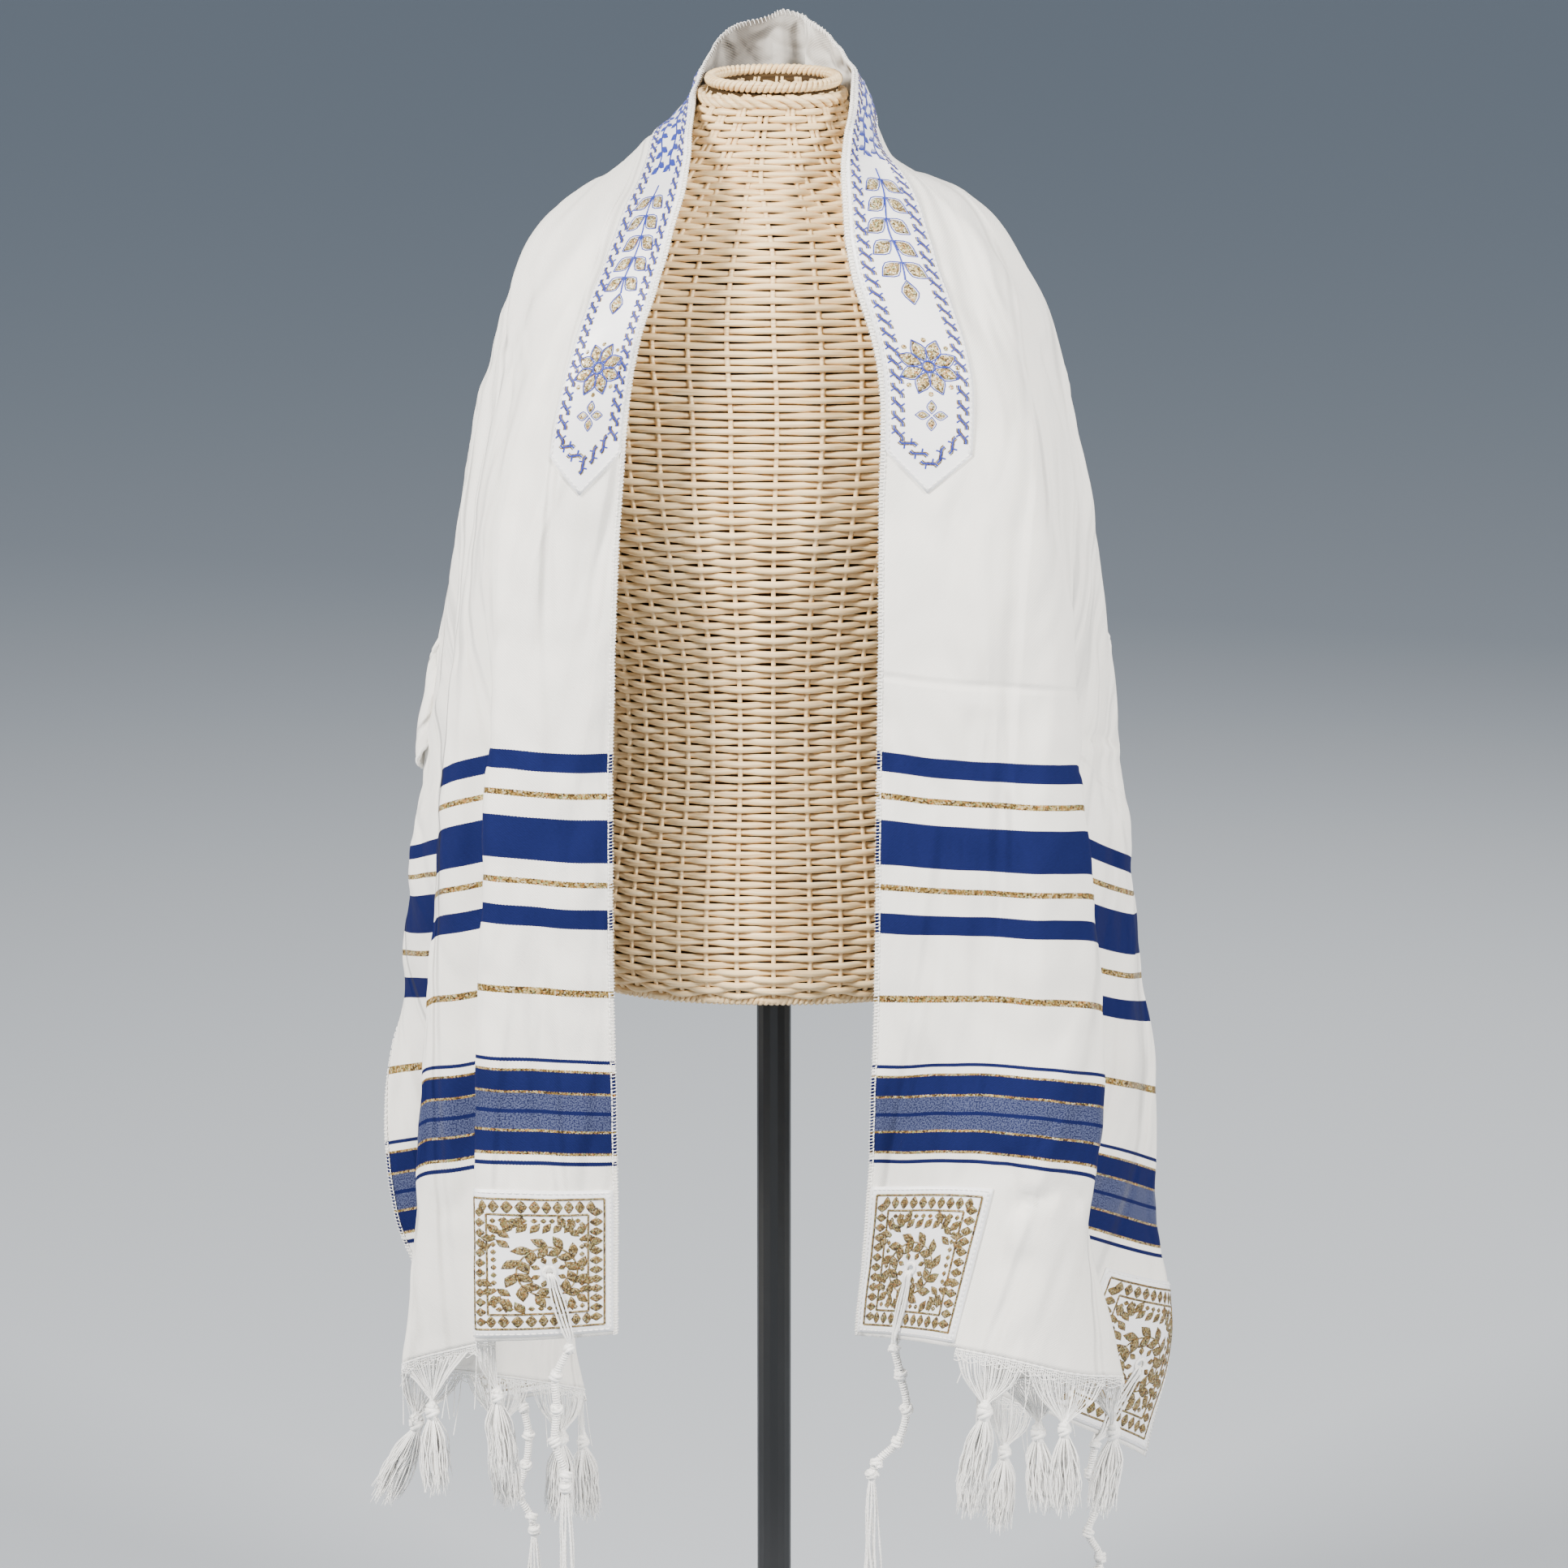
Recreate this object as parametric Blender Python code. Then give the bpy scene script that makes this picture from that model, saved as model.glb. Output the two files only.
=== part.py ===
"""A striped tallit (prayer shawl) draped over a wicker dress form on a plain stand."""
import bisect
import math
from collections import namedtuple

import bmesh
import bpy
from mathutils import Matrix, Vector

# ---- cut of the cloth, metres ----
CLOTH_LENGTH = 1.829
CLOTH_WIDTH = 0.457
HALF = CLOTH_LENGTH / 2
WALL = 0.0016
SEAM = 0.0003
TRIM_WALL = 0.0010

# ---- neckband and corner patches ----
TRIM_INSET = 0.003
BAND_WIDTH = 0.050
BAND_SHOULDER = 0.352
BAND_POINT = 0.376
PATCH_WIDTH = 0.0885
PATCH_LENGTH = 0.100
EYELET_FROM_SIDE = 0.043
EYELET_FROM_HEM = 0.048
EYELET_HOLE = 0.0056

# ---- knotted fringe between the patches ----
TASSELS_PER_END = 6
STRIP_HEIGHT = 0.004
STRIP_CLEAR = 0.002
STRIP_GAP = 0.0007
FAN_LOCKS = 4
FAN_SHARE = 0.40
TUFT_LOCKS = 5
LOCK_RADIUS = 0.0013
LOCK_SIDES = 3
TASSEL_KNOT_DROP = 0.034
TASSEL_KNOT_RADIUS = 0.0046
TUFT_LENGTH = 0.060
TUFT_SPREAD = 0.0085
TUFT_WAIST = 0.0026

# ---- corner cords (tzitzit) ----
LEG_RADIUS = 0.0013
LEG_SIDES = 4
LEG_CLEAR = 0.0009
CORD_RADIUS = 0.0022
CORD_SIDES = 5
CORD_KNOT_RADIUS = 0.0043
KNOT_SIDES = 6
CORD_STRANDS = 8
STRAND_LENGTH = 0.165
STRAND_RADIUS = 0.0009
STRAND_SPREAD = 0.0075

# ---- dress form and stand ----
RIM_RISE = 0.003
RIM_LIP = 0.001
RIM_STEPS = 5
FORM_BOTTOM = 0.660
POLE_RADIUS = 0.011
BASE_RADIUS = 0.160
BASE_HEIGHT = 0.016
COLLAR_RADIUS = 0.022
COLLAR_HEIGHT = 0.030
RIM_RADIUS = 0.0040
NECK_CUP_DEPTH = 0.045
NECK_CUP_WALL = 0.007

SIDES = (("left", -1), ("right", 1))
PLACES = ("front", "rear")

Edge = namedtuple("Edge", "s x y z")
Fold = namedtuple("Fold", "t x y drop")
Swell = namedtuple("Swell", "s t along across out rise")
Ring = namedtuple("Ring", "z half_width front back aside")

# the neck edge of the cloth, from the centre back down each front
RIGHT_EDGE = [
    Edge(0.000, 0.003, 0.068, 1.271),
    Edge(0.034, 0.032, 0.045, 1.257),
    Edge(0.081, 0.049, 0.000, 1.245),
    Edge(0.133, 0.046, -0.046, 1.217),
    Edge(0.172, 0.042, -0.077, 1.191),
    Edge(0.241, 0.047, -0.112, 1.131),
    Edge(0.297, 0.062, -0.128, 1.079),
    Edge(0.394, 0.064, -0.135, 0.981),
    Edge(0.534, 0.0635, -0.135, 0.8375),
    Edge(0.734, 0.0615, -0.130, 0.6335),
    Edge(0.812, 0.059, -0.118, 0.554),
    Edge(HALF, 0.052, -0.095, 0.449),
]
LEFT_EDGE = [
    Edge(0.034, 0.031, 0.050, 1.254),
    Edge(0.081, 0.047, 0.004, 1.232),
    Edge(0.133, 0.049, -0.050, 1.207),
    Edge(0.172, 0.053, -0.086, 1.180),
    Edge(0.241, 0.070, -0.120, 1.123),
    Edge(0.297, 0.083, -0.131, 1.078),
    Edge(0.394, 0.093, -0.135, 0.979),
    Edge(0.534, 0.0985, -0.135, 0.836),
    Edge(0.734, 0.0985, -0.135, 0.637),
    Edge(0.812, 0.0975, -0.132, 0.556),
    Edge(HALF, 0.0985, -0.128, 0.461),
]

# the cloth across its width at chosen lengths s: t runs from the neck edge outwards
CAPE = {
    0.000: [
        Fold(0.000, 0.003, 0.068, 0.000),
        Fold(0.050, 0.004, 0.064, 0.050),
        Fold(0.100, 0.002, 0.080, 0.097),
        Fold(0.160, 0.001, 0.101, 0.153),
        Fold(0.250, 0.000, 0.115, 0.241),
        Fold(0.350, 0.000, 0.120, 0.341),
        Fold(CLOTH_WIDTH, 0.000, 0.128, 0.446),
    ],
    0.070: [
        Fold(0.000, 0.046, 0.010, 0.000),
        Fold(0.050, 0.056, 0.046, 0.033),
        Fold(0.100, 0.061, 0.078, 0.073),
        Fold(0.160, 0.065, 0.101, 0.128),
        Fold(0.250, 0.068, 0.114, 0.217),
        Fold(0.350, 0.070, 0.122, 0.316),
        Fold(CLOTH_WIDTH, 0.073, 0.133, 0.420),
    ],
    0.140: [
        Fold(0.000, 0.045, -0.052, 0.000),
        Fold(0.050, 0.070, -0.014, 0.014),
        Fold(0.100, 0.095, 0.027, 0.032),
        Fold(0.160, 0.120, 0.072, 0.066),
        Fold(0.250, 0.133, 0.108, 0.148),
        Fold(0.350, 0.138, 0.116, 0.247),
        Fold(CLOTH_WIDTH, 0.142, 0.120, 0.352),
    ],
    0.210: [
        Fold(0.000, 0.050, -0.100, 0.000),
        Fold(0.050, 0.092, -0.080, 0.007),
        Fold(0.100, 0.132, -0.050, 0.022),
        Fold(0.160, 0.158, -0.002, 0.052),
        Fold(0.250, 0.177, 0.044, 0.125),
        Fold(0.350, 0.187, 0.072, 0.218),
        Fold(CLOTH_WIDTH, 0.195, 0.088, 0.322),
    ],
    0.300: [
        Fold(0.000, 0.070, -0.129, 0.000),
        Fold(0.050, 0.118, -0.128, 0.003),
        Fold(0.100, 0.153, -0.100, 0.012),
        Fold(0.160, 0.176, -0.050, 0.033),
        Fold(0.250, 0.192, 0.018, 0.085),
        Fold(0.350, 0.204, 0.056, 0.175),
        Fold(CLOTH_WIDTH, 0.222, 0.050, 0.279),
    ],
}
RIGHT_FALL = {
    0.400: [
        Fold(0.000, 0.064, -0.135, 0.000),
        Fold(0.065, 0.128, -0.142, 0.004),
        Fold(0.115, 0.170, -0.120, 0.012),
        Fold(0.160, 0.184, -0.080, 0.030),
        Fold(0.220, 0.196, -0.028, 0.068),
        Fold(0.290, 0.206, 0.030, 0.120),
        Fold(0.370, 0.212, 0.076, 0.176),
        Fold(CLOTH_WIDTH, 0.188, 0.104, 0.216),
    ],
    0.534: [
        Fold(0.000, 0.0635, -0.135, 0.000),
        Fold(0.065, 0.126, -0.148, 0.004),
        Fold(0.115, 0.176, -0.135, 0.009),
        Fold(0.136, 0.190, -0.118, 0.013),
        Fold(0.170, 0.172, -0.092, 0.030),
        Fold(0.212, 0.166, -0.060, 0.050),
        Fold(0.262, 0.192, -0.022, 0.078),
        Fold(0.320, 0.221, 0.022, 0.104),
        Fold(0.390, 0.214, 0.086, 0.120),
        Fold(CLOTH_WIDTH, 0.172, 0.122, 0.130),
    ],
    0.734: [
        Fold(0.000, 0.0615, -0.130, 0.000),
        Fold(0.060, 0.119, -0.148, -0.006),
        Fold(0.120, 0.178, -0.146, -0.002),
        Fold(0.152, 0.206, -0.125, 0.008),
        Fold(0.190, 0.182, -0.100, 0.022),
        Fold(0.238, 0.158, -0.062, 0.045),
        Fold(0.290, 0.182, -0.018, 0.075),
        Fold(0.350, 0.224, 0.022, 0.100),
        Fold(0.405, 0.240, 0.066, 0.120),
        Fold(CLOTH_WIDTH, 0.224, 0.110, 0.128),
    ],
    HALF: [
        Fold(0.000, 0.052, -0.095, 0.000),
        Fold(0.045, 0.081, -0.127, -0.008),
        Fold(0.090, 0.111, -0.160, -0.014),
        Fold(0.130, 0.149, -0.166, -0.008),
        Fold(0.172, 0.194, -0.148, 0.008),
        Fold(0.194, 0.2195, -0.123, 0.0175),
        Fold(0.235, 0.184, -0.102, 0.026),
        Fold(0.292, 0.133, -0.072, 0.038),
        Fold(0.336, 0.148, -0.034, 0.062),
        Fold(0.366, 0.171, -0.010, 0.080),
        Fold(0.410, 0.206, 0.022, 0.108),
        Fold(CLOTH_WIDTH, 0.238, 0.055, 0.135),
    ],
}
LEFT_FALL = {
    0.400: [
        Fold(0.000, 0.093, -0.135, 0.000),
        Fold(0.050, 0.140, -0.140, 0.002),
        Fold(0.090, 0.172, -0.118, 0.008),
        Fold(0.140, 0.188, -0.075, 0.028),
        Fold(0.200, 0.196, -0.025, 0.060),
        Fold(0.280, 0.206, 0.030, 0.115),
        Fold(0.370, 0.222, 0.070, 0.175),
        Fold(CLOTH_WIDTH, 0.204, 0.094, 0.214),
    ],
    0.534: [
        Fold(0.000, 0.0985, -0.135, 0.000),
        Fold(0.040, 0.138, -0.147, -0.003),
        Fold(0.078, 0.175, -0.138, -0.004),
        Fold(0.101, 0.163, -0.121, 0.002),
        Fold(0.124, 0.178, -0.104, 0.008),
        Fold(0.158, 0.206, -0.085, 0.021),
        Fold(0.200, 0.184, -0.058, 0.042),
        Fold(0.245, 0.176, -0.020, 0.062),
        Fold(0.300, 0.203, 0.012, 0.085),
        Fold(0.342, 0.2235, 0.044, 0.100),
        Fold(0.400, 0.212, 0.092, 0.112),
        Fold(CLOTH_WIDTH, 0.174, 0.122, 0.118),
    ],
    0.734: [
        Fold(0.000, 0.0985, -0.135, 0.000),
        Fold(0.045, 0.143, -0.147, -0.005),
        Fold(0.087, 0.184, -0.140, -0.006),
        Fold(0.109, 0.171, -0.122, 0.000),
        Fold(0.132, 0.186, -0.105, 0.008),
        Fold(0.172, 0.2225, -0.086, 0.020),
        Fold(0.214, 0.188, -0.068, 0.040),
        Fold(0.262, 0.152, -0.036, 0.060),
        Fold(0.312, 0.148, 0.010, 0.080),
        Fold(0.362, 0.176, 0.046, 0.095),
        Fold(0.410, 0.212, 0.066, 0.106),
        Fold(CLOTH_WIDTH, 0.243, 0.074, 0.114),
    ],
    HALF: [
        Fold(0.000, 0.0985, -0.128, 0.000),
        Fold(0.046, 0.143, -0.140, 0.000),
        Fold(0.092, 0.187, -0.134, 0.003),
        Fold(0.114, 0.175, -0.116, 0.008),
        Fold(0.137, 0.191, -0.101, 0.016),
        Fold(0.186, 0.236, -0.084, 0.035),
        Fold(0.226, 0.200, -0.066, 0.045),
        Fold(0.272, 0.158, -0.046, 0.058),
        Fold(0.316, 0.126, -0.014, 0.075),
        Fold(0.362, 0.134, 0.030, 0.092),
        Fold(0.410, 0.162, 0.064, 0.108),
        Fold(CLOTH_WIDTH, 0.196, 0.084, 0.122),
    ],
}

# where the cloth stands further out or lies lower than its sections: centre, reach along and across, out and up
SWELLS = [
    Swell(-0.122, 0.070, 0.035, 0.045, 0.0060, 0.0050),
    Swell(-0.188, 0.142, 0.050, 0.055, 0.0110, 0.0050),
    Swell(-0.350, 0.370, 0.080, 0.130, 0.0055, 0.0000),
    Swell(-0.548, 0.370, 0.060, 0.060, 0.0110, 0.0000),
    Swell(-0.665, 0.457, 0.085, 0.070, 0.0220, 0.0000),
    Swell(-0.790, 0.457, 0.050, 0.060, 0.0090, 0.0000),
    Swell(0.133, 0.086, 0.035, 0.050, -0.0080, -0.0080),
    Swell(0.215, 0.165, 0.040, 0.050, 0.0060, 0.0000),
    Swell(0.350, 0.260, 0.060, 0.130, 0.0050, 0.0000),
    Swell(0.500, 0.340, 0.070, 0.060, 0.0090, 0.0000),
    Swell(0.660, 0.390, 0.095, 0.060, 0.0140, 0.0000),
    Swell(0.835, 0.440, 0.075, 0.060, 0.0320, 0.0000),
]

# grid along half the cloth and across it, with lines on every edge of the trims
ALONG_STOPS = [0.0, 0.100, 0.300, BAND_SHOULDER, BAND_POINT,
               HALF - TRIM_INSET - PATCH_LENGTH, HALF - TRIM_INSET, HALF]
ALONG_STEPS = [6, 8, 2, 1, 9, 3, 1]
ACROSS_STOPS = [0.0, TRIM_INSET, TRIM_INSET + BAND_WIDTH, TRIM_INSET + PATCH_WIDTH,
                CLOTH_WIDTH - TRIM_INSET - PATCH_WIDTH, CLOTH_WIDTH - TRIM_INSET, CLOTH_WIDTH]
ACROSS_STEPS = [1, 4, 3, 17, 5, 1]

FORM_RINGS = [
    Ring(1.230, 0.0425, -0.0405, 0.0395, 0.0000),
    Ring(1.200, 0.0600, -0.0440, 0.0415, -0.0030),
    Ring(1.178, 0.0842, -0.0500, 0.0460, -0.0036),
    Ring(1.160, 0.1092, -0.0580, 0.0570, -0.0015),
    Ring(1.147, 0.1276, -0.0650, 0.0690, -0.0002),
    Ring(1.132, 0.1404, -0.0730, 0.0800, 0.0000),
    Ring(1.112, 0.1540, -0.0820, 0.0900, -0.0004),
    Ring(1.085, 0.1650, -0.0900, 0.0990, 0.0004),
    Ring(1.040, 0.1620, -0.1000, 0.1060, 0.0022),
    Ring(0.985, 0.1540, -0.1050, 0.1020, 0.0010),
    Ring(0.930, 0.1370, -0.0940, 0.0900, 0.0000),
    Ring(0.870, 0.1220, -0.0810, 0.0790, 0.0000),
    Ring(0.810, 0.1190, -0.0790, 0.0780, 0.0000),
    Ring(0.750, 0.1280, -0.0850, 0.0850, 0.0000),
    Ring(0.700, 0.1330, -0.0880, 0.0900, 0.0000),
    Ring(0.672, 0.1300, -0.0860, 0.0880, 0.0000),
    Ring(FORM_BOTTOM, 0.1210, -0.0780, 0.0800, 0.0000),
]
FORM_SIDES = 26
FORM_SQUARENESS = 2.25

# where each wound cord wanders below the hem: sideways and down from its first knot, one row a knot
Knot = namedtuple("Knot", "aside down")
CORD_PATHS = {
    "front_left": [Knot(0.0, 0.0), Knot(-0.0085, 0.018), Knot(-0.008, 0.040), Knot(-0.0095, 0.061),
                   Knot(-0.003, 0.084), Knot(-0.003, 0.092)],
    "front_right": [Knot(0.0, 0.0), Knot(0.004, 0.017), Knot(0.008, 0.040), Knot(0.002, 0.062),
                    Knot(-0.011, 0.076), Knot(-0.014, 0.083)],
    "rear_left": [Knot(0.0, 0.0), Knot(0.003, 0.019), Knot(0.001, 0.040), Knot(-0.004, 0.060),
                  Knot(0.004, 0.077), Knot(0.006, 0.086)],
    "rear_right": [Knot(0.0, 0.0), Knot(-0.003, 0.020), Knot(0.002, 0.042), Knot(-0.004, 0.061),
                   Knot(0.004, 0.079), Knot(0.003, 0.088)],
}
CORD_SLANT = {"front_left": -0.012, "front_right": -0.003, "rear_left": 0.006, "rear_right": -0.004}

# how far each tassel's tuft swings aside and forward, from the patch outwards
Lean = namedtuple("Lean", "aside ahead")
TASSEL_LEANS = {
    "left": [Lean(0.004, 0.0), Lean(0.002, -0.002), Lean(-0.020, 0.0), Lean(0.003, 0.002),
             Lean(-0.002, 0.0), Lean(0.002, 0.002)],
    "right": [Lean(-0.008, 0.0), Lean(0.001, -0.002), Lean(-0.007, 0.0), Lean(0.003, 0.002),
              Lean(-0.003, 0.0), Lean(-0.004, 0.002)],
}

COLOURS = {
    "cloth": (0.86, 0.85, 0.82),
    "satin": (0.88, 0.89, 0.91),
    "cotton": (0.88, 0.87, 0.83),
    "wicker": (0.80, 0.64, 0.42),
    "iron": (0.05, 0.05, 0.055),
}


def clear_scene():
    for thing in list(bpy.data.objects):
        bpy.data.objects.remove(thing, do_unlink=True)


def material(name, colour, roughness=0.9, metallic=0.0):
    mat = bpy.data.materials.new(name)
    mat.use_nodes = True
    shader = mat.node_tree.nodes["Principled BSDF"]
    shader.inputs["Base Color"].default_value = (*colour, 1.0)
    shader.inputs["Roughness"].default_value = roughness
    shader.inputs["Metallic"].default_value = metallic
    return mat


def add_object(name, bm, mat, smooth=True):
    bmesh.ops.recalc_face_normals(bm, faces=bm.faces)
    mesh = bpy.data.meshes.new(name)
    bm.to_mesh(mesh)
    bm.free()
    for face in mesh.polygons:
        face.use_smooth = smooth
    mesh.materials.append(mat)
    obj = bpy.data.objects.new(name, mesh)
    bpy.context.scene.collection.objects.link(obj)
    return obj


# ---- smooth curves through table rows ----
def spline(keys, points, at):
    """Cubic curve through points at rising keys, evaluated at one key."""
    last = len(keys) - 1
    i = 0
    while i < last - 1 and at > keys[i + 1]:
        i += 1
    step = keys[i + 1] - keys[i]
    u = (at - keys[i]) / step

    def slope(k):
        if k == 0:
            return (points[1] - points[0]) / (keys[1] - keys[0])
        if k == last:
            return (points[last] - points[last - 1]) / (keys[last] - keys[last - 1])
        before = keys[k] - keys[k - 1]
        after = keys[k + 1] - keys[k]
        rise_in = (points[k] - points[k - 1]) / before
        rise_out = (points[k + 1] - points[k]) / after
        return (rise_in * after + rise_out * before) / (before + after)

    a, b = points[i], points[i + 1]
    m, n = slope(i) * step, slope(i + 1) * step
    u2, u3 = u * u, u * u * u
    return a * (2 * u3 - 3 * u2 + 1) + m * (u3 - 2 * u2 + u) + b * (3 * u2 - 2 * u3) + n * (u3 - u2)


def edge_rail():
    """Signed lengths and points of the neck edge, from the left hem to the right hem."""
    rows = [(-e.s, Vector((-e.x, e.y, e.z))) for e in reversed(LEFT_EDGE)]
    rows += [(e.s, Vector((e.x, e.y, e.z))) for e in RIGHT_EDGE]
    return [r[0] for r in rows], [r[1] for r in rows]


def section_rows():
    """Every section of the drape as (signed length, fold keys, fold offsets from the edge height)."""
    rows = []
    for side, fall in ((-1, LEFT_FALL), (1, RIGHT_FALL)):
        for s, folds in {**CAPE, **fall}.items():
            if side < 0 and s == 0.0:
                continue
            keys = [f.t for f in folds]
            points = [Vector((side * f.x if s else f.x, f.y, -f.drop)) for f in folds]
            rows.append((side * s, keys, points))
    return sorted(rows, key=lambda row: row[0])


RAIL_KEYS, RAIL_POINTS = edge_rail()
SECTIONS = section_rows()
EDGE_BLEND = 0.11


def drape(s, t):
    """Middle of the cloth at length s from the centre back and t from the neck edge."""
    rail = spline(RAIL_KEYS, RAIL_POINTS, s)
    keys = [row[0] for row in SECTIONS]
    across = [spline(row[1], row[2], t) for row in SECTIONS]
    start = spline(keys, [row[2][0] for row in SECTIONS], s)
    point = spline(keys, across, s)
    ease = max(0.0, 1.0 - t / EDGE_BLEND) ** 2
    shift = Vector((rail.x - start.x, rail.y - start.y, 0.0)) * ease
    place = Vector((point.x, point.y, rail.z + point.z)) + shift
    for w in SWELLS:
        share = math.exp(-((s - w.s) / w.along) ** 2 - ((t - w.t) / w.across) ** 2)
        place += Vector((math.copysign(w.out, w.out * w.s), 0.0, w.rise)) * share
    return place


def facing(s, t, step=0.002):
    """Outward direction of the cloth's right side."""
    s0, s1 = max(-HALF, s - step), min(HALF, s + step)
    t0, t1 = max(0.0, t - step), min(CLOTH_WIDTH, t + step)
    along = drape(s1, t) - drape(s0, t)
    across = drape(s, t1) - drape(s, t0)
    return along.cross(across).normalized()


def steps_between(stops, counts):
    values = [stops[0]]
    for k, count in enumerate(counts):
        span = stops[k + 1] - stops[k]
        values += [stops[k] + span * (i + 1) / count for i in range(count)]
    return values


HALF_LENGTHS = steps_between(ALONG_STOPS, ALONG_STEPS)
LENGTHS = [-s for s in reversed(HALF_LENGTHS[1:])] + HALF_LENGTHS
WIDTHS = steps_between(ACROSS_STOPS, ACROSS_STEPS)
GRID = [[(drape(s, t), facing(s, t)) for t in WIDTHS] for s in LENGTHS]


def cell(values, at):
    """Index and fraction of a value among rising grid lines."""
    i = min(max(bisect.bisect_right(values, at + 1e-9) - 1, 0), len(values) - 2)
    return i, (at - values[i]) / (values[i + 1] - values[i])


def on_cloth(s, t, height):
    """Point over the faceted cloth, moved out along its facing."""
    i, u = cell(LENGTHS, s)
    j, v = cell(WIDTHS, t)
    corners = [(GRID[i][j], (1 - u) * (1 - v)), (GRID[i + 1][j], u * (1 - v)),
               (GRID[i][j + 1], (1 - u) * v), (GRID[i + 1][j + 1], u * v)]
    return sum(((place + out * height) * share for (place, out), share in corners), Vector())


def wall_mesh(rows, low, high):
    """Closed wall over a grid of (s, t) rows, from low to high above the cloth's middle."""
    bm = bmesh.new()
    layers = []
    for height in (low, high):
        layers.append([[bm.verts.new(on_cloth(s, t, height)) for s, t in row] for row in rows])
    bottom, top = layers
    count, width = len(rows), len(rows[0])
    for i in range(count - 1):
        for j in range(width - 1):
            bm.faces.new((top[i][j], top[i + 1][j], top[i + 1][j + 1], top[i][j + 1]))
            bm.faces.new((bottom[i][j], bottom[i][j + 1], bottom[i + 1][j + 1], bottom[i + 1][j]))
    ring = [(i, 0) for i in range(count)] + [(count - 1, j) for j in range(1, width)]
    ring += [(i, width - 1) for i in range(count - 2, -1, -1)] + [(0, j) for j in range(width - 2, 0, -1)]
    for (i, j), (k, m) in zip(ring, ring[1:] + ring[:1]):
        bm.faces.new((bottom[i][j], bottom[k][m], top[k][m], top[i][j]))
    return bm


# ---- tubes, knots and fusing ----
def tube(bm, points, radii, sides):
    """Closed tube of a few sides through points, its frame carried along without twist."""
    rings = []
    side = None
    for k, point in enumerate(points):
        ahead = points[min(k + 1, len(points) - 1)] - points[max(k - 1, 0)]
        ahead.normalize()
        if side is None:
            side = ahead.orthogonal().normalized()
        side = (side - ahead * side.dot(ahead)).normalized()
        other = ahead.cross(side)
        turns = [2 * math.pi * i / sides for i in range(sides)]
        spokes = [side * math.cos(a) + other * math.sin(a) for a in turns]
        rings.append([bm.verts.new(point + spoke * radii[k]) for spoke in spokes])
    for low, high in zip(rings, rings[1:]):
        for i in range(sides):
            j = (i + 1) % sides
            bm.faces.new((low[i], low[j], high[j], high[i]))
    bm.faces.new(list(reversed(rings[0])))
    bm.faces.new(rings[-1])


def knot(bm, centre, radius, squash=0.85):
    place = Matrix.Translation(centre) @ Matrix.Diagonal((1.0, 1.0, squash, 1.0))
    bmesh.ops.create_uvsphere(bm, u_segments=KNOT_SIDES, v_segments=3, radius=radius, matrix=place)


def fuse(name, base, extras, mat):
    """One closed body from a base solid and the locks, knots and strands rooted in it."""
    obj = add_object(name, base, mat)
    helper = add_object(f"{name}_locks", extras, mat)
    helper.hide_render = True
    helper.display_type = "WIRE"
    union = obj.modifiers.new("fused_locks", "BOOLEAN")
    union.operation = "UNION"
    union.object = helper
    union.use_self = True
    return obj


def cut_holes(obj, places):
    for k, (s, t) in enumerate(places):
        bm = bmesh.new()
        place = (facing(s, t)).to_track_quat("Z", "Y").to_matrix().to_4x4()
        place.translation = on_cloth(s, t, 0.0)
        bmesh.ops.create_cone(bm, cap_ends=True, segments=10, radius1=EYELET_HOLE / 2,
                              radius2=EYELET_HOLE / 2, depth=0.012, matrix=place)
        cutter = add_object(f"{obj.name}_hole_{k}", bm, obj.data.materials[0])
        cutter.hide_render = True
        cutter.display_type = "WIRE"
        cut = obj.modifiers.new(f"eyelet_{k}", "BOOLEAN")
        cut.object = cutter


def eyelet(place, sign):
    """Length and width of a corner's hole."""
    across = EYELET_FROM_SIDE if place == "front" else CLOTH_WIDTH - EYELET_FROM_SIDE
    return sign * (HALF - EYELET_FROM_HEM), across


def past_hem(sign, t, distance, height=0.0):
    """Point on the line of the cloth, carried on beyond its hem."""
    hem = on_cloth(sign * HALF, t, 0.0)
    inside = on_cloth(sign * (HALF - 0.03), t, 0.0)
    return hem + (hem - inside).normalized() * distance + facing(sign * HALF, t) * height


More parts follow.
